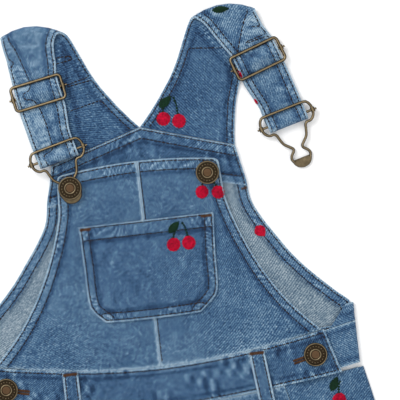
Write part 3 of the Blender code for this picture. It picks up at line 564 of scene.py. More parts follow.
def denim_material():
    """Washed twill: blue on its right side, pale on its wrong side, lighter where it is worn, darker with
    painted shade beside hems, along stitch rows and in the hollows of puckers and wrinkles.
    """
    if "denim" in made_materials:
        return made_materials["denim"]
    made, tree, shader = tree_of("washed_denim")
    parts = grain_parts(tree)
    tone = 0.5
    for name, weight in GRAIN.items():
        centred = maths(tree, "MULTIPLY", maths(tree, "SUBTRACT", parts[name], 0.5), weight)
        tone = maths(tree, "ADD", centred, tone)
    blend = add(tree, "ShaderNodeMix", data_type="RGBA")
    tree.links.new(attribute(tree, "face"), blend.inputs[0])
    tree.links.new(ramp(tree, tone, PALE), blend.inputs[6])
    tree.links.new(ramp(tree, tone, BLUE), blend.inputs[7])
    fine = maths(tree, "ADD", maths(tree, "MULTIPLY", parts["twill"], 0.5),
                 maths(tree, "MULTIPLY", parts["slub"], 0.9))
    weave = add(tree, "ShaderNodeBump", Strength=0.4, Distance=0.0002, Height=fine)
    soft = add(tree, "ShaderNodeBump", Strength=0.5, Distance=0.0012, Height=parts["patch"],
               Normal=weave.outputs[0])
    put(tree, shader, {"Base Color": blend.outputs[2], "Normal": soft.outputs[0],
                       "Roughness": maths(tree, "MULTIPLY_ADD", parts["speck"], 0.18, 0.76),
                       "Specular IOR Level": 0.2, "Sheen Weight": 0.12, "Sheen Roughness": 0.5})
    made_materials["denim"] = made
    return made


def thread_material(name):
    """Twisted thread, uneven in tone along its length."""
    if name in made_materials:
        return made_materials[name]
    thread = THREADS[name]
    made, tree, shader = tree_of(name)
    place = add(tree, "ShaderNodeTexCoord").outputs["Object"]
    strand = noise(tree, place, thread.scale, 3.0, 0.6)
    patch = noise(tree, place, 160.0, 2.0)
    tone = maths(tree, "ADD", maths(tree, "MULTIPLY", strand, 0.6), maths(tree, "MULTIPLY", patch, 0.4))
    bump = add(tree, "ShaderNodeBump", Strength=0.4, Distance=0.0002, Height=strand)
    put(tree, shader, {"Base Color": ramp(tree, tone, [(0.3, thread.dark), (0.7, thread.light)]),
                       "Roughness": 0.7, "Specular IOR Level": 0.12, "Normal": bump.outputs[0]})
    made_materials[name] = made
    return made


def brass_material(name):
    """Antique brass: dark patina, with a painted highlight on faces that point up and painted shade on the
    sides.
    """
    if name in made_materials:
        return made_materials[name]
    brass = BRASSES[name]
    made, tree, shader = tree_of(name)
    place = add(tree, "ShaderNodeTexCoord").outputs["Object"]
    patina = noise(tree, place, 420.0, 4.0, 0.65)
    scratch = noise(tree, stretched(tree, place, (2400.0, 500.0, 900.0)), 1.0, 2.0)
    # Painted highlight and shade from the direction each face points, with random patina over it.
    bright = maths(tree, "ADD", maths(tree, "MULTIPLY", attribute(tree, "painted_top_light"), 0.75),
                   maths(tree, "MULTIPLY", patina, 0.5))
    bump = add(tree, "ShaderNodeBump", Strength=0.25, Distance=0.0002, Height=patina)
    put(tree, shader, {"Base Color": ramp(tree, bright, [(0.45, brass.dark), (1.0, brass.light)]),
                       "Roughness": maths(tree, "MULTIPLY_ADD", scratch, 0.25, brass.roughness - 0.1),
                       "Metallic": 1.0, "Normal": bump.outputs[0]})
    made_materials[name] = made
    return made


def back_reach(y):
    return min(read(BACK_EDGE, y), BACK_SIDE)


def back_point(down, across, height):
    side_y = mix(SHOULDER_Y, BACK_WAIST_SIDE + CLEAR, down)
    middle_y = mix(NOTCH_Y, back_waist_line(0) + CLEAR, down)
    centre = read(CENTRE_SHIFT, side_y)
    x = centre + across * (back_reach(side_y) - centre)
    return x, mix(middle_y, side_y, abs(across) ** mix(1.0, 2.0, down)), height


def make_back():
    """Wrong side of the back panel with its armhole hems turned in, and the facing at the neck."""
    grid = grid_of(lambda v, u: back_point(v, 2 * u - 1, DENIM / 2), 90, 141)
    hem = along_edges(SIDES, 8.0, 0.5, (1.8, 7.0), 0.26)
    shell("back_panel_cloth", grid, DENIM, ["back_panel"], hem, 2.0, face=lambda hemmed: hemmed)
    height = DENIM + CLEAR + FACING / 2
    grid = grid_of(lambda v, u: back_point(v * FACING_END, 2 * u - 1, height), 44, 121)
    seams = [Seam("top", SEAM_RIDGE, 0.6, (1.3, 7.4), 0.34), *along_edges(SIDES, 6.0, 0.2, (1.8,), 0.2),
             Seam("bottom", 6.0, 0.15, (6.2,), 0.2)]
    shell("back_facing_cloth", grid, FACING, ["back_facing"], seams, 3.0, wash=-0.12,
          extra=lambda g: crumple(g, 0, 0.12, 0.3, 4.4))


def underlap_point(down, share):
    y = mix(-104.5, BACK_WAIST_SIDE + CLEAR, down)
    reach = mix(4.0, 17.0, down)
    centre = SIDE - FOLD - DENIM / 2
    arc = FOLD * math.radians(165)
    travel = share * (arc + reach)
    if travel < arc:
        angle = math.radians(-75 + 165 * travel / arc)
        return centre + FOLD * math.cos(angle), y, DENIM / 2 + FOLD + FOLD * math.sin(angle)
    inward = travel - arc
    return centre - inward, y - WRAP_DROP * inward, DENIM / 2 + 2 * FOLD


def make_side_underlaps():
    grid = grid_of(underlap_point, 15, 24)
    seams = [Seam("top", 6.0, 0.25, (1.8,), 0.2)]
    shell_pair("side_underlap", grid, seams, 4.0, both=True)


def bib_point(down, share):
    side_y = mix(BIB_TOP - BIB_TOP_DROP, waist_line(118.2) + CLEAR, down)
    middle_y = mix(BIB_TOP, WAIST_MID + CLEAR, down)
    reach = read(FRONT_EDGE, side_y)
    drop = BIB_TOP - BIB_TOP_DROP - side_y
    if drop < BIB_CORNER:
        reach -= BIB_CORNER - math.sqrt(BIB_CORNER**2 - (BIB_CORNER - drop) ** 2)
    x = mix(SEAM_HALF, reach, share)
    y = mix(middle_y, side_y, share ** 1.95)
    return x, y, bib_under(y) + DENIM / 2


def raised_by_creases(grid):
    """Lifts each point of a grid by the front layer's creases."""
    lifted = grid.copy()
    for row in lifted:
        for point in row:
            point[2] += lie(point[0], point[1])
    return lifted


def make_bib():
    grid = grid_of(bib_point, 124, 98)
    hem = [Seam("top", HEM + 2, 0.55, (1.6, 8.0), 0.34), Seam("bottom", 0.0, 0.0, (), 0.08)]
    right = hem + [Seam("right", HEM, 0.5, (1.8, 6.8), 0.32), Seam("left", 0.0, 0.0, (1.4,), 0.06)]
    left = hem + [Seam("left", HEM, 0.5, (1.8, 6.8), 0.32), Seam("right", 0.0, 0.0, (), 0.06)]
    shell("bib_right_cloth", raised_by_creases(grid), DENIM, ["bib_right"], right, 6.0)
    shell("bib_left_cloth", raised_by_creases(mirrored(grid)), DENIM, ["bib_left"], left, 7.5)


def pocket_point(down, share):
    y = mix(POCKET_TOP, POCKET_LOW, down)
    x = mix(read(POCKET_LEFT, y), read(POCKET_RIGHT, y), share)
    bow = 1 - (2 * share - 1) ** 2
    z = bib_under(y) + DENIM + CLEAR + DENIM / 2 + 0.1 + 0.5 * bow * (1 - ease(down / 0.2))
    return x, y - 0.8 * down * bow, z


def make_bib_pocket():
    grid = raised_by_creases(grid_of(pocket_point, 70, 92))
    seams = [Seam("top", 10.5, 0.45, (1.2, 10.0), 0.3),
             *along_edges((*SIDES, "bottom"), 7.0, 0.12, (1.6, 6.6), 0.34)]
    shell("bib_pocket_cloth", grid, DENIM, ["bib_pocket"], seams, 8.2, wash=-0.08,
          extra=lambda g: crumple(g, 0, 0.06, 0.16, 5.1))


def front_band_point(down, share):
    end = BAND_END_TOP + BAND_END_SLANT * down
    x = mix(-end, end, share)
    return x, mix(waist_line(x), band_low_line(x), down), front_band_under(x) + BAND / 2


def back_band_point(down, share):
    """Round the side folds: from the wrapped left end, along the back, to the wrapped right end."""
    centre = SIDE - FOLD - STRAP / 2
    arc = math.pi * FOLD
    wrap = centre - WRAP_END
    half = centre + arc + wrap
    travel = (2 * share - 1) * half
    side, distance = (1 if travel >= 0 else -1), abs(travel)
    low = -BACK_BAND_HIGH * down
    if distance < centre:
        return travel, back_waist_line(distance) + low, STRAP / 2
    side_y = back_waist_line(SIDE) + low
    if distance < centre + arc:
        angle = (distance - centre) / FOLD - math.pi / 2
        return side * (centre + FOLD * math.cos(angle)), side_y, STRAP / 2 + FOLD + FOLD * math.sin(angle)
    inward = distance - centre - arc
    return side * (centre - inward), side_y - WRAP_DROP * inward, STRAP / 2 + 2 * FOLD


def make_waistbands():
    grid = grid_of(front_band_point, 28, 216)
    seams = (along_edges(("top", "bottom"), 4.0, 0.15, (2.0,), 0.34)
             + along_edges(SIDES, 3.0, 0.1, (2.0,), 0.15))
    band = shell("waistband_front_cloth", grid, BAND, ["waistband_front"], seams, 9.1,
                 extra=lambda g: crumple(g, 0, 0.18, 0.5, 1.7), wash=-0.08)
    for side in (-1, 1):
        cut_buttonhole(band, side)
    grid = grid_of(back_band_point, 16, 420)
    seams = along_edges(("top", "bottom"), 3.0, 0.15, (2.0,), 0.2)
    shell("waistband_back_cloth", grid, STRAP, ["waistband_back"], seams, 10.3, both=True)


def hole_frame(side):
    """Centre of a side buttonhole, its direction towards the garment's middle, and square to that."""
    slant = math.radians(HOLE_SLANT)
    inward = np.array([-side * math.cos(slant), -math.sin(slant)])
    return np.array([SIDE_BUTTON_X * side, SIDE_BUTTON_Y]), inward, np.array([-inward[1], inward[0]])


def cut_buttonhole(band, side):
    """A keyhole slit for the side button's shank."""
    centre, inward, upward = hole_frame(side)
    outline = [(HOLE_LONG, 0.15), (HOLE_LONG, -0.15), (2.6, -0.15)]
    for k in range(13):
        angle = math.radians(-15 - 27.5 * k)
        outline.append((2.7 * math.cos(angle), 2.7 * math.sin(angle)))
    outline.append((2.6, 0.15))
    ring = [centre + inward * a + upward * b + SHIFT[:2] for a, b in outline]
    points = [(*(p * MM), height * MM) for height in (0.0, 12.0) for p in ring]
    count = len(ring)
    faces = [list(range(count)), list(range(2 * count - 1, count - 1, -1))]
    faces += [[k, (k + 1) % count, count + (k + 1) % count, count + k] for k in range(count)]
    tool = placed("hole_tool", mesh_of("hole_tool", points, faces))
    fix_normals(tool.data)
    cut = band.modifiers.new("hole", "BOOLEAN")
    cut.operation = "DIFFERENCE"
    cut.solver = "EXACT"
    cut.object = tool
    kept = baked(band)
    band.modifiers.clear()
    band.data = kept
    bpy.data.objects.remove(tool)


def fix_normals(mesh):
    work = bmesh.new()
    work.from_mesh(mesh)
    bmesh.ops.recalc_face_normals(work, faces=work.faces)
    work.to_mesh(mesh)
    work.free()


def loop_point(side):
    x, y, slant = LOOP_TOPS[side]

    def point(down, share):
        over_band = 1 - ease((down - 0.72) / 0.14)
        bow = 0.5 * math.sin(math.pi * min(down / 0.75, 1.0))
        height = mix(LEG_LAYER + DENIM + 0.6, STRAP + CLEAR + BAND + 0.1, over_band)
        return (x + slant * down + LOOP_WIDE * (share - 0.5), y - LOOP_LONG * down,
                height + CLEAR + STRAP / 2 + bow)
    return point


def make_belt_loops():
    for side in LOOP_TOPS:
        grid = grid_of(loop_point(side), 46, 14)
        seams = along_edges(SIDES, 2.6, 0.15, (1.9,), 0.3)
        shell(f"belt_loop_{side}_cloth", grid, STRAP, [f"belt_loop_{side}"], seams, 11.0, wash=0.12)


def back_leg_point(down, share):
    inner_y = mix(BAND_LOW_MID - CLEAR, HEM_IN, down)
    outer_y = mix(band_low_line(SIDE) - CLEAR, HEM_OUT, down)
    inner = max(read(LEG_INSIDE, inner_y), SEAM_HALF)
    x = mix(inner, read(LEG_SIDE, outer_y) - BACK_LEG_INSET, share)
    return x, mix(inner_y, outer_y, share ** 1.6), DENIM / 2


def front_leg_point(down, share):
    """The outer edge is the scooped pocket mouth first and the side below it."""
    lowest_mouth = POCKET_MOUTH[-1].height + 0.4
    split = 0.32
    if down < split:
        part = down / split
        pace = mix(part, ease(part), 0.35)
        outer_y = mix(band_low_line(86.5) - CLEAR, lowest_mouth, pace)
        inner_y = mix(BAND_LOW_MID - CLEAR, POCKET_MOUTH[-1].height - 6.0, part)
        inner, outer = SEAM_HALF, read(POCKET_MOUTH, outer_y)
        outer = min(outer, read(LEG_SIDE, outer_y) - DENIM / 2 - SIDE_ROLL)
    else:
        part = (down - split) / (1 - split)
        outer_y = mix(lowest_mouth, HEM_OUT, part)
        inner_y = mix(POCKET_MOUTH[-1].height - 6.0, HEM_IN, part)
        inner = max(read(LEG_INSIDE, inner_y), SEAM_HALF)
        outer = read(LEG_SIDE, outer_y) - DENIM / 2 - SIDE_ROLL
    x = mix(inner, outer, share)
    return x, mix(inner_y, outer_y, share ** 1.6), LEG_LAYER + DENIM / 2


def mouth_relief(grid):
    """The pocket mouth's turned edge, which ends where the side seam starts."""
    distance, along = from_edge(grid, "right")
    above = ease((grid[..., 1] - POCKET_MOUTH[-1].height - 4) / 8)
    pucker = roping(along, distance, 2.2)
    window = hump(distance - 3.5, 4.0) * above
    height = 0.5 * ease((7.2 - distance) / 1.2) * above + 0.15 * window * pucker
    # Tone: real fade on the pucker ridges and the worn edge, painted shade in the pucker hollows.
    return height, 0.4 * window * pucker + 0.25 * hump(distance, 1.0) * above


def make_legs():
    back = grid_of(back_leg_point, 60, 50)
    shell_pair("back_leg", back, [], 12.0, face=lambda hemmed: hemmed)
    grid = grid_of(front_leg_point, 122, 100)
    seams = [Seam("top", 0.0, 0.0, (), 0.15), Seam("left", 5.5, 0.2, (1.4, 5.0), 0.24),
             Seam("bottom", LEG_HEM, 0.45, (18.0,), 0.3)]
    shell("front_leg_right_cloth", raised_by_creases(grid), DENIM, ["front_leg_right"], seams, 14.0,
          extra=mouth_relief)
    seams = [Seam("top", 0.0, 0.0, (), 0.15), Seam("right", 0.0, 0.0, (), 0.14),
             Seam("bottom", LEG_HEM, 0.45, (18.0,), 0.3)]
    shell("front_leg_left_cloth", raised_by_creases(mirrored(grid)), DENIM, ["front_leg_left"], seams, 15.0,
          extra=lambda g: tuple(part[:, ::-1] for part in mouth_relief(mirrored(g))))


def hip_facing_point(down, share):
    lowest = POCKET_MOUTH[-1].height + 1.2
    y = mix(band_low_line(88.0) - CLEAR, lowest, down)
    left = read(POCKET_MOUTH, y) + (CLEAR + 0.1) * widen(POCKET_MOUTH, y)
    fold = read(LEG_SIDE, y) - DENIM / 2 - SIDE_ROLL
    arc = SIDE_ROLL * math.pi / 2
    travel = share * (fold - left + arc + 0.6)
    x = left + travel
    top = LEG_LAYER + DENIM / 2
    if x < fold:
        return x, mix(band_low_line(x) - CLEAR, lowest, down), top
    edge_y = mix(band_low_line(fold) - CLEAR, lowest, down)
    turn = (x - fold) / SIDE_ROLL
    if x < fold + arc:
        return fold + SIDE_ROLL * math.sin(turn), edge_y, top - SIDE_ROLL + SIDE_ROLL * math.cos(turn)
    return fold + SIDE_ROLL, edge_y, top - SIDE_ROLL - (x - fold - arc)


def make_hip_facings():
    shell_pair("hip_facing", grid_of(hip_facing_point, 46, 56), [], 16.0)


def at(place, across, down, height):
    """A point of a fitting: across it, down along the strap, and above its cloth."""
    turn = math.radians(place.turn)
    share = (across + SLIDER_HALF_LONG) / (2 * SLIDER_HALF_LONG)
    base = mix(place.left_base, place.right_base, min(max(share, 0.0), 1.0))
    return np.array([place.x + across * math.cos(turn) + down * math.sin(turn),
                     place.y + across * math.sin(turn) - down * math.cos(turn), base + height])


def strap_points(left, right, bulge):
    row = []
    for j in range(STRAP_COLUMNS + 1):
        share = j / STRAP_COLUMNS
        spot = mix(left, right, share)
        spot[1] += bulge * (1 - (2 * share - 1) ** 2)
        row.append(spot)
    return row


def table_row(entry):
    return strap_points(np.array([entry.left_x, entry.left_y, entry.left_z]),
                        np.array([entry.right_x, entry.right_y, entry.right_z]), entry.bulge)


def fold_rows(first, last):
    rows = []
    for k in range(FOLD_STEPS + 1):
        share = k / FOLD_STEPS
        angle = math.pi * (share - 0.5)
        forward = FOLD_HALF * math.cos(angle)
        height = FLAT + FOLD_HALF * (1 + math.sin(angle))
        left = np.array([mix(first.left_x, last.left_x, share),
                         mix(first.left_y, last.left_y, share) + forward, height])
        right = np.array([mix(first.right_x, last.right_x, share),
                          mix(first.right_y, last.right_y, share) + forward, height])
        rows.append(strap_points(left, right, mix(first.bulge, last.bulge, share)))
    return rows


def fitting_row(place, half, down, height, shift=0.0):
    return strap_points(at(place, shift - half, down, height), at(place, shift + half, down, height), 0.0)


def hook_height(heights, down):
    return mix(heights[0], heights[1], down / HOOK_LENGTH)


def hook_rows(hook, heights):
    base = hook.left_base
    over = hook_height(heights, HOOK_BAR_DOWN) + HOOK_WIRE + CLEAR + STRAP / 2 - base
    under = heights[0] - HOOK_WIRE - CLEAR - STRAP / 2 - base
    route = ((-7.0, FLAT + STRAP + CLEAR), (1.5, min(under, FLAT + STRAP + 2 * CLEAR)),
             (4.5, mix(under, over, 0.5)), (HOOK_BAR_DOWN - 0.8, over))
    rows = [fitting_row(hook, STRAP_AT_HOOK, down, height) for down, height in route]
    radius = (over - FLAT) / 2
    turn_at = FOLD_END - STRAP / 2 - radius
    for k in range(7):
        angle = math.pi * (0.5 - k / 6)
        rows.append(fitting_row(hook, STRAP_AT_HOOK, turn_at + radius * math.cos(angle),
                                FLAT + radius + radius * math.sin(angle)))
    rows += [fitting_row(hook, STRAP_AT_HOOK, down, FLAT, RETURN_SHIFT) for down in (4.0, -0.5, -7.0)]
    return rows


def between_rows(slider, hook, height, shift):
    rows = [fitting_row(slider, STRAP_AT_SLIDER, SLIDER_HALF_HIGH + beyond, height, shift)
            for beyond in (0.3, 4.5)]
    top, low = rows[-1], fitting_row(hook, STRAP_AT_HOOK, -7.0, height, shift)
    rows.append([mix(a, b, 0.55) for a, b in zip(top, low)])
    return rows


def finer(control, step):
    """A denser grid on smooth curves down through rows, and straight across them."""
    control = np.array(control)
    lines = []
    for i in range(len(control) - 1):
        before, a, b = control[max(i - 1, 0)], control[i], control[i + 1]
        after = control[min(i + 2, len(control) - 1)]
        span = np.linalg.norm(b - a, axis=1).mean()
        ahead = max(np.linalg.norm(after - b, axis=1).mean(), 1e-6)
        behind = max(np.linalg.norm(a - before, axis=1).mean(), 1e-6)
        slope_a = (b - before) * span / (span + behind) if i else b - a
        slope_b = (after - a) * span / (span + ahead) if i < len(control) - 2 else b - a
        parts = max(int(round(span / step)), 2)
        lines += [curve(a, b, slope_a, slope_b, k / parts) for k in range(parts)]
    lines.append(control[-1])
    rows = np.array(lines)
    columns = max(int(round(36 / step)), 4)
    shares = np.linspace(0, STRAP_COLUMNS, columns)
    low = np.minimum(shares.astype(int), STRAP_COLUMNS - 1)
    part = (shares - low)[None, :, None]
    return rows[:, low] * (1 - part) + rows[:, low + 1] * part


def strap_control(side, fold, fall, slider, hook, heights):
    back = [table_row(entry) for entry in STRAP_BACK]
    if side == "left":
        back = [list(row) for row in mirrored(np.array(back), NOTCH_X)]
    front = [table_row(entry) for entry in fall]
    over_bar = SLIDER_BAR + BAR + CLEAR + FLAT
    route = ((-SLIDER_HALF_HIGH, FLAT), (-4.6, FLAT + 2.2), (-1.0, over_bar), (1.0, over_bar), (4.8, 3.6))
    front += [fitting_row(slider, STRAP_AT_SLIDER, down, height) for down, height in route]
    front += between_rows(slider, hook, FLAT + STRAP + CLEAR, 0.0)
    under = list(reversed(between_rows(slider, hook, FLAT, RETURN_SHIFT)))
    under += [fitting_row(slider, STRAP_AT_SLIDER, down, FLAT, RETURN_SHIFT) for down in (4.8, 0.5)]
    return back + fold_rows(*fold) + front + hook_rows(hook, heights) + under


def lay_strap(side, grid, seams, seed):
    """A strap, darker on the yoke than in front, with short wrinkles across its front."""
    crown = int(np.argmax(grid[:, :, 1].mean(axis=1)))
    rows = np.arange(len(grid))[:, None]
    front = ease((rows - crown + 4) / 8.0)
    wash = mix(-0.10, 0.16, front)

    def wrinkles(panel_grid):
        height, wear_and_shade = crumple(panel_grid, 1, 0.12, 0.3, seed)
        return height * front, wear_and_shade * front
    shell(f"strap_{side}_cloth", grid, STRAP, [f"strap_{side}"], seams, seed, extra=wrinkles,
          both=True, wash=wash)


def make_straps():
    seams = along_edges(SIDES, 6.2, 0.15, (1.8, 5.6), 0.26)
    right = strap_control("right", RIGHT_FOLD, RIGHT_FALL, RIGHT_SLIDER, RIGHT_HOOK, RIGHT_HOOK_HIGH)
    lay_strap("right", finer(right, 1.0), seams, 18.0)
    left = strap_control("left", LEFT_FOLD, LEFT_FALL, LEFT_SLIDER, LEFT_HOOK, LEFT_HOOK_HIGH)
    lay_strap("left", finer(left, 1.0), seams, 19.0)


def wire(name, points, radius, closed=False):
    """Round wire along a line of points, as a mesh."""
    route = bpy.data.curves.new(name, "CURVE")
    route.dimensions = "3D"
    route.bevel_depth = radius * MM
    route.bevel_resolution = 5
    route.use_fill_caps = not closed
    spline = route.splines.new("POLY")
    spline.points.add(len(points) - 1)
    for point, spot in zip(spline.points, points):
        point.co = (*((spot + SHIFT) * MM), 1.0)
    spline.use_cyclic_u = closed
    guide = placed(name, route)
    mesh = baked(guide)
    bpy.data.objects.remove(guide)
    mesh.materials.clear()
    mesh.shade_smooth()
    return mesh


def joined(name, meshes, materials, replaced=()):
    """One object from several meshes, each with its own material."""
    points, faces, kinds = [], [], []
    used = list(dict.fromkeys(material.name for material in materials))
    for mesh, material in zip(meshes, materials):
        start = len(points)
        points += [tuple(v.co) for v in mesh.vertices]
        faces += [[start + k for k in face.vertices] for face in mesh.polygons]
        kinds += [used.index(material.name)] * len(mesh.polygons)
    whole = mesh_of(name, points, faces)
    for material_name in used:
        whole.materials.append(bpy.data.materials[material_name])
    whole.polygons.foreach_set("material_index", kinds)
    fix_normals(whole)
    # Painted highlight for the brass: faces that point up are marked light, the sides dark.
    put_attribute(whole, "painted_top_light", [max(v.normal.z, 0.0) ** 4 for v in whole.vertices])
    whole.shade_smooth()
    whole.set_sharp_from_angle(angle=math.radians(40))
    piece = placed(name, whole)
    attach(piece, "root")
    if replaced:
        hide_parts(*replaced)
    return piece


def join_fitting(name, meshes):
    joined(f"{name}_metal", meshes, [brass_material("bright_brass")] * len(meshes), [name])


def smooth_line(points, parts):
    """Extra points on a smooth curve through the given ones."""
    line = []
    for i in range(len(points) - 1):
        before, a = points[max(i - 1, 0)], points[i]
        b, after = points[i + 1], points[min(i + 2, len(points) - 1)]
        line += [curve(a, b, (b - before) / 2, (after - a) / 2, k / parts) for k in range(parts)]
    line.append(points[-1])
    return line


def bar_ends(place, half, down, height, pin_reaches):
    """A collar and a pin on each end of a fitting's bar."""
    meshes = []
    for sign in (-1, 1):
        collar = [at(place, sign * half, down + d, height) for d in (-COLLAR_HALF, COLLAR_HALF)]
        pin = [at(place, sign * (half + reach), down, height) for reach in pin_reaches]
        meshes += [wire("collar", collar, COLLAR), wire("pin", pin, PIN)]
    return meshes


def make_slider(side, place):
    """A rectangular wire frame with a bar across its middle, which the strap runs over."""
    corners = []
    for sx, sy, start in ((1, 1, 0), (-1, 1, 90), (-1, -1, 180), (1, -1, 270)):
        for k in range(8):
            angle = math.radians(start + 90 * k / 7)
            across = sx * (SLIDER_HALF_LONG - SLIDER_CORNER) + SLIDER_CORNER * math.cos(angle)
            down = sy * (SLIDER_HALF_HIGH - SLIDER_CORNER) + SLIDER_CORNER * math.sin(angle)
            rise = mix(SLIDER_TOP, SLIDER_LOW, (down / SLIDER_HALF_HIGH + 1) / 2)
            corners.append(at(place, across, down, rise))
    meshes = [wire("frame", corners, WIRE, closed=True)]
    meshes.append(wire("bar", [at(place, s * SLIDER_HALF_LONG, 0.0, SLIDER_BAR) for s in (-1, 1)], BAR))
    meshes += bar_ends(place, SLIDER_HALF_LONG + 0.15, 0.0, SLIDER_BAR + 0.3, (0.85, 2.85))
    join_fitting(f"slider_{side}", meshes)


def make_hook(side, place, heights):
    """A wire hook: a top wire over the strap, a waisted eye for the button and a tip plate."""
    base = place.left_base
    half = [at(place, p.across, p.down, hook_height(heights, p.down) - base) for p in HOOK_HALF]
    other = [at(place, -p.across, p.down, hook_height(heights, p.down) - base) for p in HOOK_HALF]
    line = smooth_line(list(reversed(other[1:])) + half, 5)
    bar_height = hook_height(heights, HOOK_BAR_DOWN) - base
    bar = [at(place, s * HOOK_BAR_HALF, HOOK_BAR_DOWN, bar_height) for s in (-1, 1)]
    meshes = [wire("loop", line, HOOK_WIRE), wire("bar", bar, BAR)]
    meshes += bar_ends(place, HOOK_BAR_HALF + 0.2, HOOK_BAR_DOWN, bar_height, (1.0, 2.8))
    meshes.append(tip_plate(place, hook_height(heights, HOOK_LENGTH) - base))
    join_fitting(f"hook_{side}", meshes)


def tip_plate(place, height):
    """The half-moon plate that closes the hook's tip."""
    outline = [(-7.2, 36.9), (7.2, 36.9)]
    for k in range(1, 18):
        angle = math.radians(10 * k)
        outline.append((7.2 * math.cos(angle), 37.4 + 6.7 * math.sin(angle)))
    count = len(outline)
    points = []
    for inset, z in ((0.0, -0.75), (0.0, 0.45), (0.07, 0.85)):
        for a, d in outline:
            spot = at(place, a * (1 - inset), mix(d, 39.5, inset), height + z)
            points.append(tuple((spot + SHIFT) * MM))
    faces = [list(range(count)), list(range(2 * count, 3 * count))]
    for level in (0, count):
        for k in range(count):
            m = (k + 1) % count
            faces.append([level + k, level + m, level + count + m, level + count + k])
    return mesh_of("plate", points, faces)


def turned(profile, centre, segments=56, ring=False):
    """A body turned about an upright axis from (radius, height) points, solid or a closed ring."""
    points, faces = [], []
    for radius, height in profile:
        for k in range(segments):
            angle = 2 * math.pi * k / segments
            spot = centre + np.array([radius * math.cos(angle), radius * math.sin(angle), height]) + SHIFT
            points.append(tuple(spot * MM))
    for level in range(len(profile) - (0 if ring else 1)):
        above = (level + 1) % len(profile)
        low, high = level * segments, above * segments
        for k in range(segments):
            m = (k + 1) % segments
            faces.append([low + k, low + m, high + m, high + k])
    if not ring:
        faces.append(list(range(segments)))
        faces.append([(len(profile) - 1) * segments + k for k in range(segments)])
    return mesh_of("turned", points, faces)


def make_button(name, x, y, cloth_top, shank=SHANK_HIGH):
    """A tack button: bright rim and inner ring, a dark ring of raised dots between, a brown middle."""
    radius = BUTTON / 2
    low = np.array([x, y, cloth_top + CLEAR])
    head = low + np.array([0.0, 0.0, shank])
    shank_body = turned([(SHANK, 0.0), (SHANK, shank + 0.4)], low)
    body = turned([(SHANK, 0.0), (7.4, 0.0), (radius - 0.3, 0.3), (radius - 0.05, 0.9), (radius - 0.4, 1.2),
                   (0.4, 1.2)], head)
    rim = turned([(radius - 1.2, 0.9), (radius - 0.02, 0.9), (radius, 1.25), (radius - 0.25, 1.7),
                  (radius - 0.65, 1.85), (radius - 1.0, 1.75), (radius - 1.2, 1.3)], head, ring=True)
    ring = turned([(3.0, 1.0), (4.3, 1.0), (4.3, 1.45), (4.0, 1.75), (3.6, 1.8), (3.3, 1.65),
                   (3.0, 1.25)], head, ring=True)
    middle = turned([(3.1, 1.1), (3.1, 1.3), (2.6, 1.4), (1.6, 1.42), (0.3, 1.35)], head)
    dark, bright, brown = [brass_material(f"{kind}_brass") for kind in ("dark", "bright", "brown")]
    meshes, finish = [shank_body, body, rim, ring, middle], [dark, dark, bright, bright, brown]
    for k in range(DOTS):
        angle = 2 * math.pi * k / DOTS
        spot = head + np.array([5.9 * math.cos(angle), 5.9 * math.sin(angle), 1.15])
        meshes.append(turned([(0.55, 0.0), (0.45, 0.22), (0.15, 0.34)], spot, 10))
        finish.append(bright)
    joined(f"{name}_metal", meshes, finish, [name])


def make_buttons():
    bib_top = BIB_HIGH + DENIM + 0.6
    wrapped_top = STRAP + 2 * FOLD
    for side, sign in (("left", -1), ("right", 1)):
        make_button(f"bib_button_{side}", sign * BIB_BUTTON_X, BIB_BUTTON_Y, bib_top)
        make_button(f"side_button_{side}", sign * SIDE_BUTTON_X, SIDE_BUTTON_Y, wrapped_top,
                    BAND + CLEAR + 0.6)


STITCH_PITCH, STITCH_LONG, STITCH_WIDE, STITCH_HIGH = 2.8, 2.4, 0.86, 0.34


def row_line(panel, edge, distance):
    """Points and normals on a panel's outer side at a distance from one of its edges."""
    reach, _ = from_edge(panel["grid"], edge)
    reach = edge_view(reach, edge)
    outer, normal = edge_view(panel["outer"], edge), edge_view(panel["normal"], edge)
    points, normals = [], []
    for i in range(len(reach)):
        j = int(np.searchsorted(reach[i], distance))
        if 0 < j < reach.shape[1]:
            share = (distance - reach[i][j - 1]) / max(reach[i][j] - reach[i][j - 1], 1e-6)
            points.append(mix(outer[i][j - 1], outer[i][j], share))
            normals.append(normal[i][j])
    return np.array(points), np.array(normals)


def lay_stitches(points, normals, store, pitch=STITCH_PITCH, wide=STITCH_WIDE, start=1.5, seed=0.0):
    """Adds separate stitches along a line of surface points to a store of points and faces."""
    steps = np.linalg.norm(np.diff(points, axis=0), axis=1)
    travel = np.concatenate([[0.0], np.cumsum(steps)])
    place = start
    while place + STITCH_LONG < travel[-1] - 1.0:
        wobble = 0.18 * math.sin(place * 0.73 + seed) + 0.1 * math.sin(place * 2.1 + 2 * seed)
        ends = []
        for offset in (0.0, pitch * 0.88):
            spot = [np.interp(place + offset, travel, points[:, k]) for k in range(3)]
            up = unit(np.array([np.interp(place + offset, travel, normals[:, k]) for k in range(3)]))
            ends.append((np.array(spot), up))
        add_stitch(ends, wide * (1 + wobble), wobble, store)
        place += pitch * (1 + 0.4 * wobble)


def add_stitch(ends, wide, wobble, store):
    (a, up), (b, up_b) = ends
    along = unit(b - a)
    side = unit(np.cross(up, along))
    base = len(store["points"])
    for share, thick in ((0.0, 0.35), (0.18, 0.9), (0.5, 1.0), (0.82, 0.9), (1.0, 0.35)):
        centre = mix(a, b, share) + side * wobble * 0.5 * math.sin(math.pi * share)
        rise = STITCH_HIGH * math.sin(math.pi * mix(0.12, 0.88, share)) ** 0.6
        for angle in (20, 90, 160, 270):
            turn = math.radians(angle)
            lift = rise * max(math.sin(turn), -0.6)
            point = centre + side * wide / 2 * thick * math.cos(turn) + up * lift
            store["points"].append(tuple((point + SHIFT) * MM))
    for k in range(4):
        low, high = base + 4 * k, base + 4 * k + 4
        for j in range(4):
            m = (j + 1) % 4
            store["faces"].append([low + j, low + m, high + m, high + j])
    store["faces"].append([base + j for j in range(4)])
    store["faces"].append([base + 16 + j for j in range(4)])


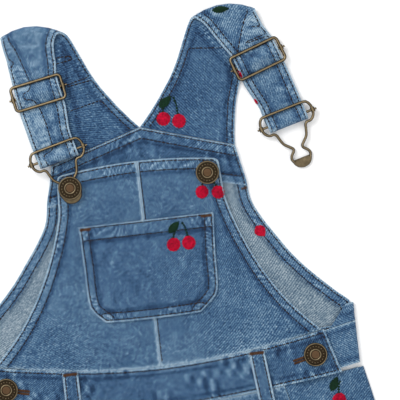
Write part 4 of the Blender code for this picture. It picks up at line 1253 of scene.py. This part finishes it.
def sewn(name, store, material):
    mesh = mesh_of(name, [(x, y, max(z, 0.0)) for x, y, z in store["points"]], store["faces"])
    fix_normals(mesh)
    mesh.shade_smooth()
    mesh.materials.append(material)
    piece = placed(name, mesh)
    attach(piece, "root")
    return piece


def empty_store():
    return {"points": [], "faces": []}


def inner_side(panel):
    """The panel seen from its other side, with the same edges."""
    grid = panel["grid"]
    depth = np.linalg.norm(panel["outer"] - grid, axis=2, keepdims=True)
    return {"grid": grid, "outer": grid - panel["normal"] * depth, "normal": -panel["normal"]}


def make_stitching():
    """The rows of every seam, on the side that shows."""
    for name, panel in panels.items():
        store = empty_store()
        sides = [panel] + ([inner_side(panel)] if name.startswith("strap") else [])
        for side in sides:
            for count, seam in enumerate(panel["seams"]):
                for row in seam.rows:
                    points, normals = row_line(side, seam.edge, row)
                    if len(points) > 4:
                        lay_stitches(points, normals, store, seed=count + row)
        if store["points"]:
            rows_name = name.replace("_cloth", "_stitching")
            panel["sewing"] = sewn(rows_name, store, thread_material("brown_thread"))


def top_finder():
    """Finds the highest cloth at a garment place, in millimetres."""
    bpy.context.view_layer.update()
    trees = []
    for panel in panels.values():
        mesh = panel["piece"].data
        points = [v.co for v in mesh.vertices]
        trees.append(BVHTree.FromPolygons(points, [tuple(face.vertices) for face in mesh.polygons]))

    def height(x, y):
        start = Vector(((x + SHIFT[0]) * MM, (y + SHIFT[1]) * MM, 0.05))
        hits = [tree.ray_cast(start, Vector((0, 0, -1)))[0] for tree in trees]
        found = [hit.z / MM for hit in hits if hit is not None]
        return max(found) if found else 0.0
    return height


def bar_tack(x, y, turn, long, wide, top, store):
    """A dense zigzag tack at the end of a seam."""
    direction, cross = heading(turn)
    steps = int(long / 0.55)
    for k in range(steps):
        along = (k / (steps - 1) - 0.5) * long
        ends = []
        for s in (-0.5, 0.5):
            flat = np.array([x, y]) + direction * (along + 0.2 * s) + cross * wide * s
            ends.append((np.array([flat[0], flat[1], top(*flat) + 0.12]), np.array([0.0, 0.0, 1.0])))
        add_stitch(ends, 0.6, 0.05 * math.sin(3 * k), store)


def buttonhole_sewing(side, top, store):
    """Close stitches square to the edge of a keyhole buttonhole."""
    centre, inward, upward = hole_frame(side)
    spots = []
    for k in range(26):
        a = mix(2.9, HOLE_LONG + 0.4, k / 25)
        spots += [((a, 0.2), (0.0, 1.0)), ((a, -0.2), (0.0, -1.0))]
    for k in range(26):
        angle = math.radians(mix(22, 338, k / 25))
        out = (math.cos(angle), math.sin(angle))
        spots.append(((2.8 * out[0], 2.8 * out[1]), out))
    for (a, b), (oa, ob) in spots:
        ends = []
        for reach in (0.0, 1.7):
            flat = centre + inward * (a + oa * reach) + upward * (b + ob * reach)
            level = top(*(centre + inward * (a + oa * 1.2) + upward * (b + ob * 1.2)))
            ends.append((np.array([flat[0], flat[1], level + 0.05]), np.array([0.0, 0.0, 1.0])))
        add_stitch(ends, 0.62, 0.0, store)


def make_tacks(top):
    """Rust bar tacks and buttonholes."""
    store = empty_store()
    for side, (x, y, slant) in LOOP_TOPS.items():
        bar_tack(x, y - 1.8, 0, LOOP_WIDE - 1.5, 2.4, top, store)
        bar_tack(x + slant, y - LOOP_LONG + 2.4, 0, LOOP_WIDE - 1.5, 2.2, top, store)
    for x in (-42.4, 45.2):
        bar_tack(x, POCKET_TOP - 1.9, 0, 7.4, 2.2, top, store)
    bar_tack(74.6, -14.2, 8, 3.6, 2.0, top, store)
    for side in (-1, 1):
        buttonhole_sewing(side, top, store)
    sewn("tacks_and_buttonholes", store, thread_material("rust_thread"))


def satin(outline, turn, top, store, high=0.75, pitch=0.85, seed=0.0):
    """Satin stitches side by side across a shape: its place, half length and half width along it."""
    x, y, half_long, half_wide = outline
    direction, cross = heading(turn)
    count = int(2 * half_long / pitch)
    for k in range(count):
        along = ((k + 0.5) / count * 2 - 1) * half_long
        share = along / half_long
        half = half_wide(share) * (1 + 0.06 * math.sin(2.7 * k + seed))
        if half < 0.35:
            continue
        add_satin_stitch(np.array([x, y]) + direction * along, cross, half, high, pitch, top, store)


def add_satin_stitch(centre, cross, half, high, pitch, top, store):
    """One thread laid over its padding, from one side of the shape to the other."""
    direction = np.array([cross[1], -cross[0]])
    base = len(store["points"])
    parts = 6
    for k in range(parts + 1):
        share = 2 * k / parts - 1
        flat = centre + cross * half * share
        rise = 0.12 + high * math.sqrt(max(1 - share * share, 0.0)) * min(half / 3.0, 1.0)
        level = top(*flat)
        for angle in (0, 45, 90, 135, 180):
            turn = math.radians(angle)
            spot = flat + direction * 0.62 * pitch * math.cos(turn)
            lift = rise + 0.4 * math.sin(turn) - (0.5 if angle in (0, 180) else 0.0)
            store["points"].append(tuple((np.array([spot[0], spot[1], level + lift]) + SHIFT) * MM))
    for k in range(parts):
        for j in range(4):
            a = base + 5 * k + j
            store["faces"].append([a, a + 1, a + 6, a + 5])


def round_width(radius):
    return lambda share: radius * math.sqrt(max(1 - share * share, 0.0))


def leaf_width(wide):
    return lambda share: wide * max(1 - share * share, 0.0) ** 0.8 * (1 - 0.25 * share)


def stem(points, top, store, wide=1.6):
    """A row of back stitches along a smooth line of garment places."""
    line = smooth_line([np.array([*p, 0.0]) for p in points], 8)
    for spot in line:
        spot[2] = top(spot[0], spot[1]) + 0.15
    normals = np.tile([0.0, 0.0, 1.0], (len(line), 1))
    lay_stitches(np.array(line), normals, store, pitch=1.9, wide=wide, start=0.0)


# Garment places and sizes in millimetres, turns in degrees
Leaf = namedtuple("Leaf", "x y half_long half_wide turn")
Cherry = namedtuple("Cherry", "x y radius turn")
EDGE_CHERRIES = [Leaf(82.6, -46.2, 4.6, 4.0, -55), Leaf(80.7, 67.2, 3.6, 1.2, -64),
                 Leaf(90.2, 46.4, 2.6, 0.8, -64)]
CHERRIES = [Cherry(22.6, 42.0, 4.9, 30), Cherry(33.5, 39.2, 4.9, 100), Cherry(44.1, -13.4, 4.6, 60),
            Cherry(55.6, -14.8, 4.6, 110), Cherry(19.5, -48.6, 4.8, 40), Cherry(30.5, -48.5, 4.8, 95),
            Cherry(125.0, -173.0, 4.8, 50)]
LEAVES = [Leaf(25.2, 54.0, 5.8, 3.0, 36), Leaf(122.7, -161.3, 5.6, 2.9, 60), Leaf(21.2, -36.2, 5.4, 2.9, 42),
          Leaf(72.4, 115.2, 6.0, 2.4, 0)]
STEMS = [[(22.6, 46.6), (24.6, 52.6), (30.6, 59.6)], [(33.2, 43.9), (32.8, 51.0), (30.6, 59.6)],
         [(44.4, -8.8), (46.8, -4.6), (48.8, -2.0)], [(54.8, -10.4), (52.6, -6.0), (49.6, -2.0)],
         [(19.8, -44.0), (22.2, -37.6), (26.4, -31.6)], [(30.2, -43.8), (29.2, -37.6), (26.4, -31.6)],
         [(125.0, -168.4), (126.0, -162.0), (128.5, -157.6)]]


def make_embroidery(top):
    """Pairs of cherries with stems and a leaf, in satin stitch."""
    red, green = empty_store(), empty_store()
    for cherry in CHERRIES:
        satin((cherry.x, cherry.y, cherry.radius, round_width(cherry.radius)), cherry.turn, top, red)
    for part in EDGE_CHERRIES:
        satin((part.x, part.y, part.half_long, leaf_width(part.half_wide)), part.turn, top, red, high=0.4)
    for leaf in LEAVES:
        satin((leaf.x, leaf.y, leaf.half_long, leaf_width(leaf.half_wide)), leaf.turn, top, green, high=0.4)
    for line in STEMS:
        stem(line, top, green)
    sewn("embroidered_cherries", red, thread_material("cherry_thread"))
    sewn("embroidered_leaves", green, thread_material("leaf_thread"))


# The studio, in metres, watts and degrees
AIM = (0.04, 0.09, 0.0)
Lamp = namedtuple("Lamp", "name place size power")
LAMPS = [Lamp("soft_light", (-0.75, 1.0, 1.1), 0.8, 15.0), Lamp("fill_light", (0.9, -0.5, 1.3), 1.2, 4.0)]
WHITE, SURROUND_STRENGTH = (1.0, 1.0, 1.0, 1.0), 0.8
TABLE_SIZE, TABLE_HEIGHT = 6.0, -0.0001
CAMERA_PLACE, CAMERA_TURN = (0.0420, 0.0948, 1.5), -6.6
LENS, SENSOR = 187.5, 36.0


def area_light(name, place, size, power):
    lamp = bpy.data.lights.new(name, "AREA")
    lamp.size = size
    lamp.energy = power
    body = placed(name, lamp)
    body.location = place
    body.rotation_euler = (Vector(AIM) - Vector(place)).to_track_quat("-Z", "Y").to_euler()


def make_studio():
    """A white table, a wide soft light from the upper left and an even white surround."""
    bpy.ops.mesh.primitive_plane_add(size=TABLE_SIZE, location=(0, 0, TABLE_HEIGHT))
    floor = bpy.context.object
    floor.name = "table"
    made, tree, shader = tree_of("table_white")
    put(tree, shader, {"Base Color": WHITE, "Roughness": 0.9, "Specular IOR Level": 0.1})
    floor.data.materials.append(made)
    world = bpy.data.worlds.new("surround")
    bpy.context.scene.world = world
    world.use_nodes = True
    background = world.node_tree.nodes["Background"]
    put(world.node_tree, background, {"Color": WHITE, "Strength": SURROUND_STRENGTH})
    for lamp in LAMPS:
        area_light(*lamp)


def make_camera():
    """Straight above, turned a little so that the garment leans as it was laid."""
    lens = bpy.data.cameras.new("camera")
    lens.lens = LENS
    lens.sensor_width = SENSOR
    camera = placed("camera", lens)
    camera.location = CAMERA_PLACE
    camera.rotation_euler = (0.0, 0.0, math.radians(CAMERA_TURN))
    bpy.context.scene.camera = camera
    bpy.context.scene.view_settings.view_transform = "Standard"


make_back()
make_side_underlaps()
make_bib()
make_bib_pocket()
make_waistbands()
make_belt_loops()
make_legs()
make_hip_facings()
make_straps()
make_slider("right", RIGHT_SLIDER)
make_slider("left", LEFT_SLIDER)
make_hook("right", RIGHT_HOOK, RIGHT_HOOK_HIGH)
make_hook("left", LEFT_HOOK, LEFT_HOOK_HIGH)
make_buttons()
make_stitching()
cloth_top = top_finder()
make_tacks(cloth_top)
make_embroidery(cloth_top)
make_studio()
make_camera()
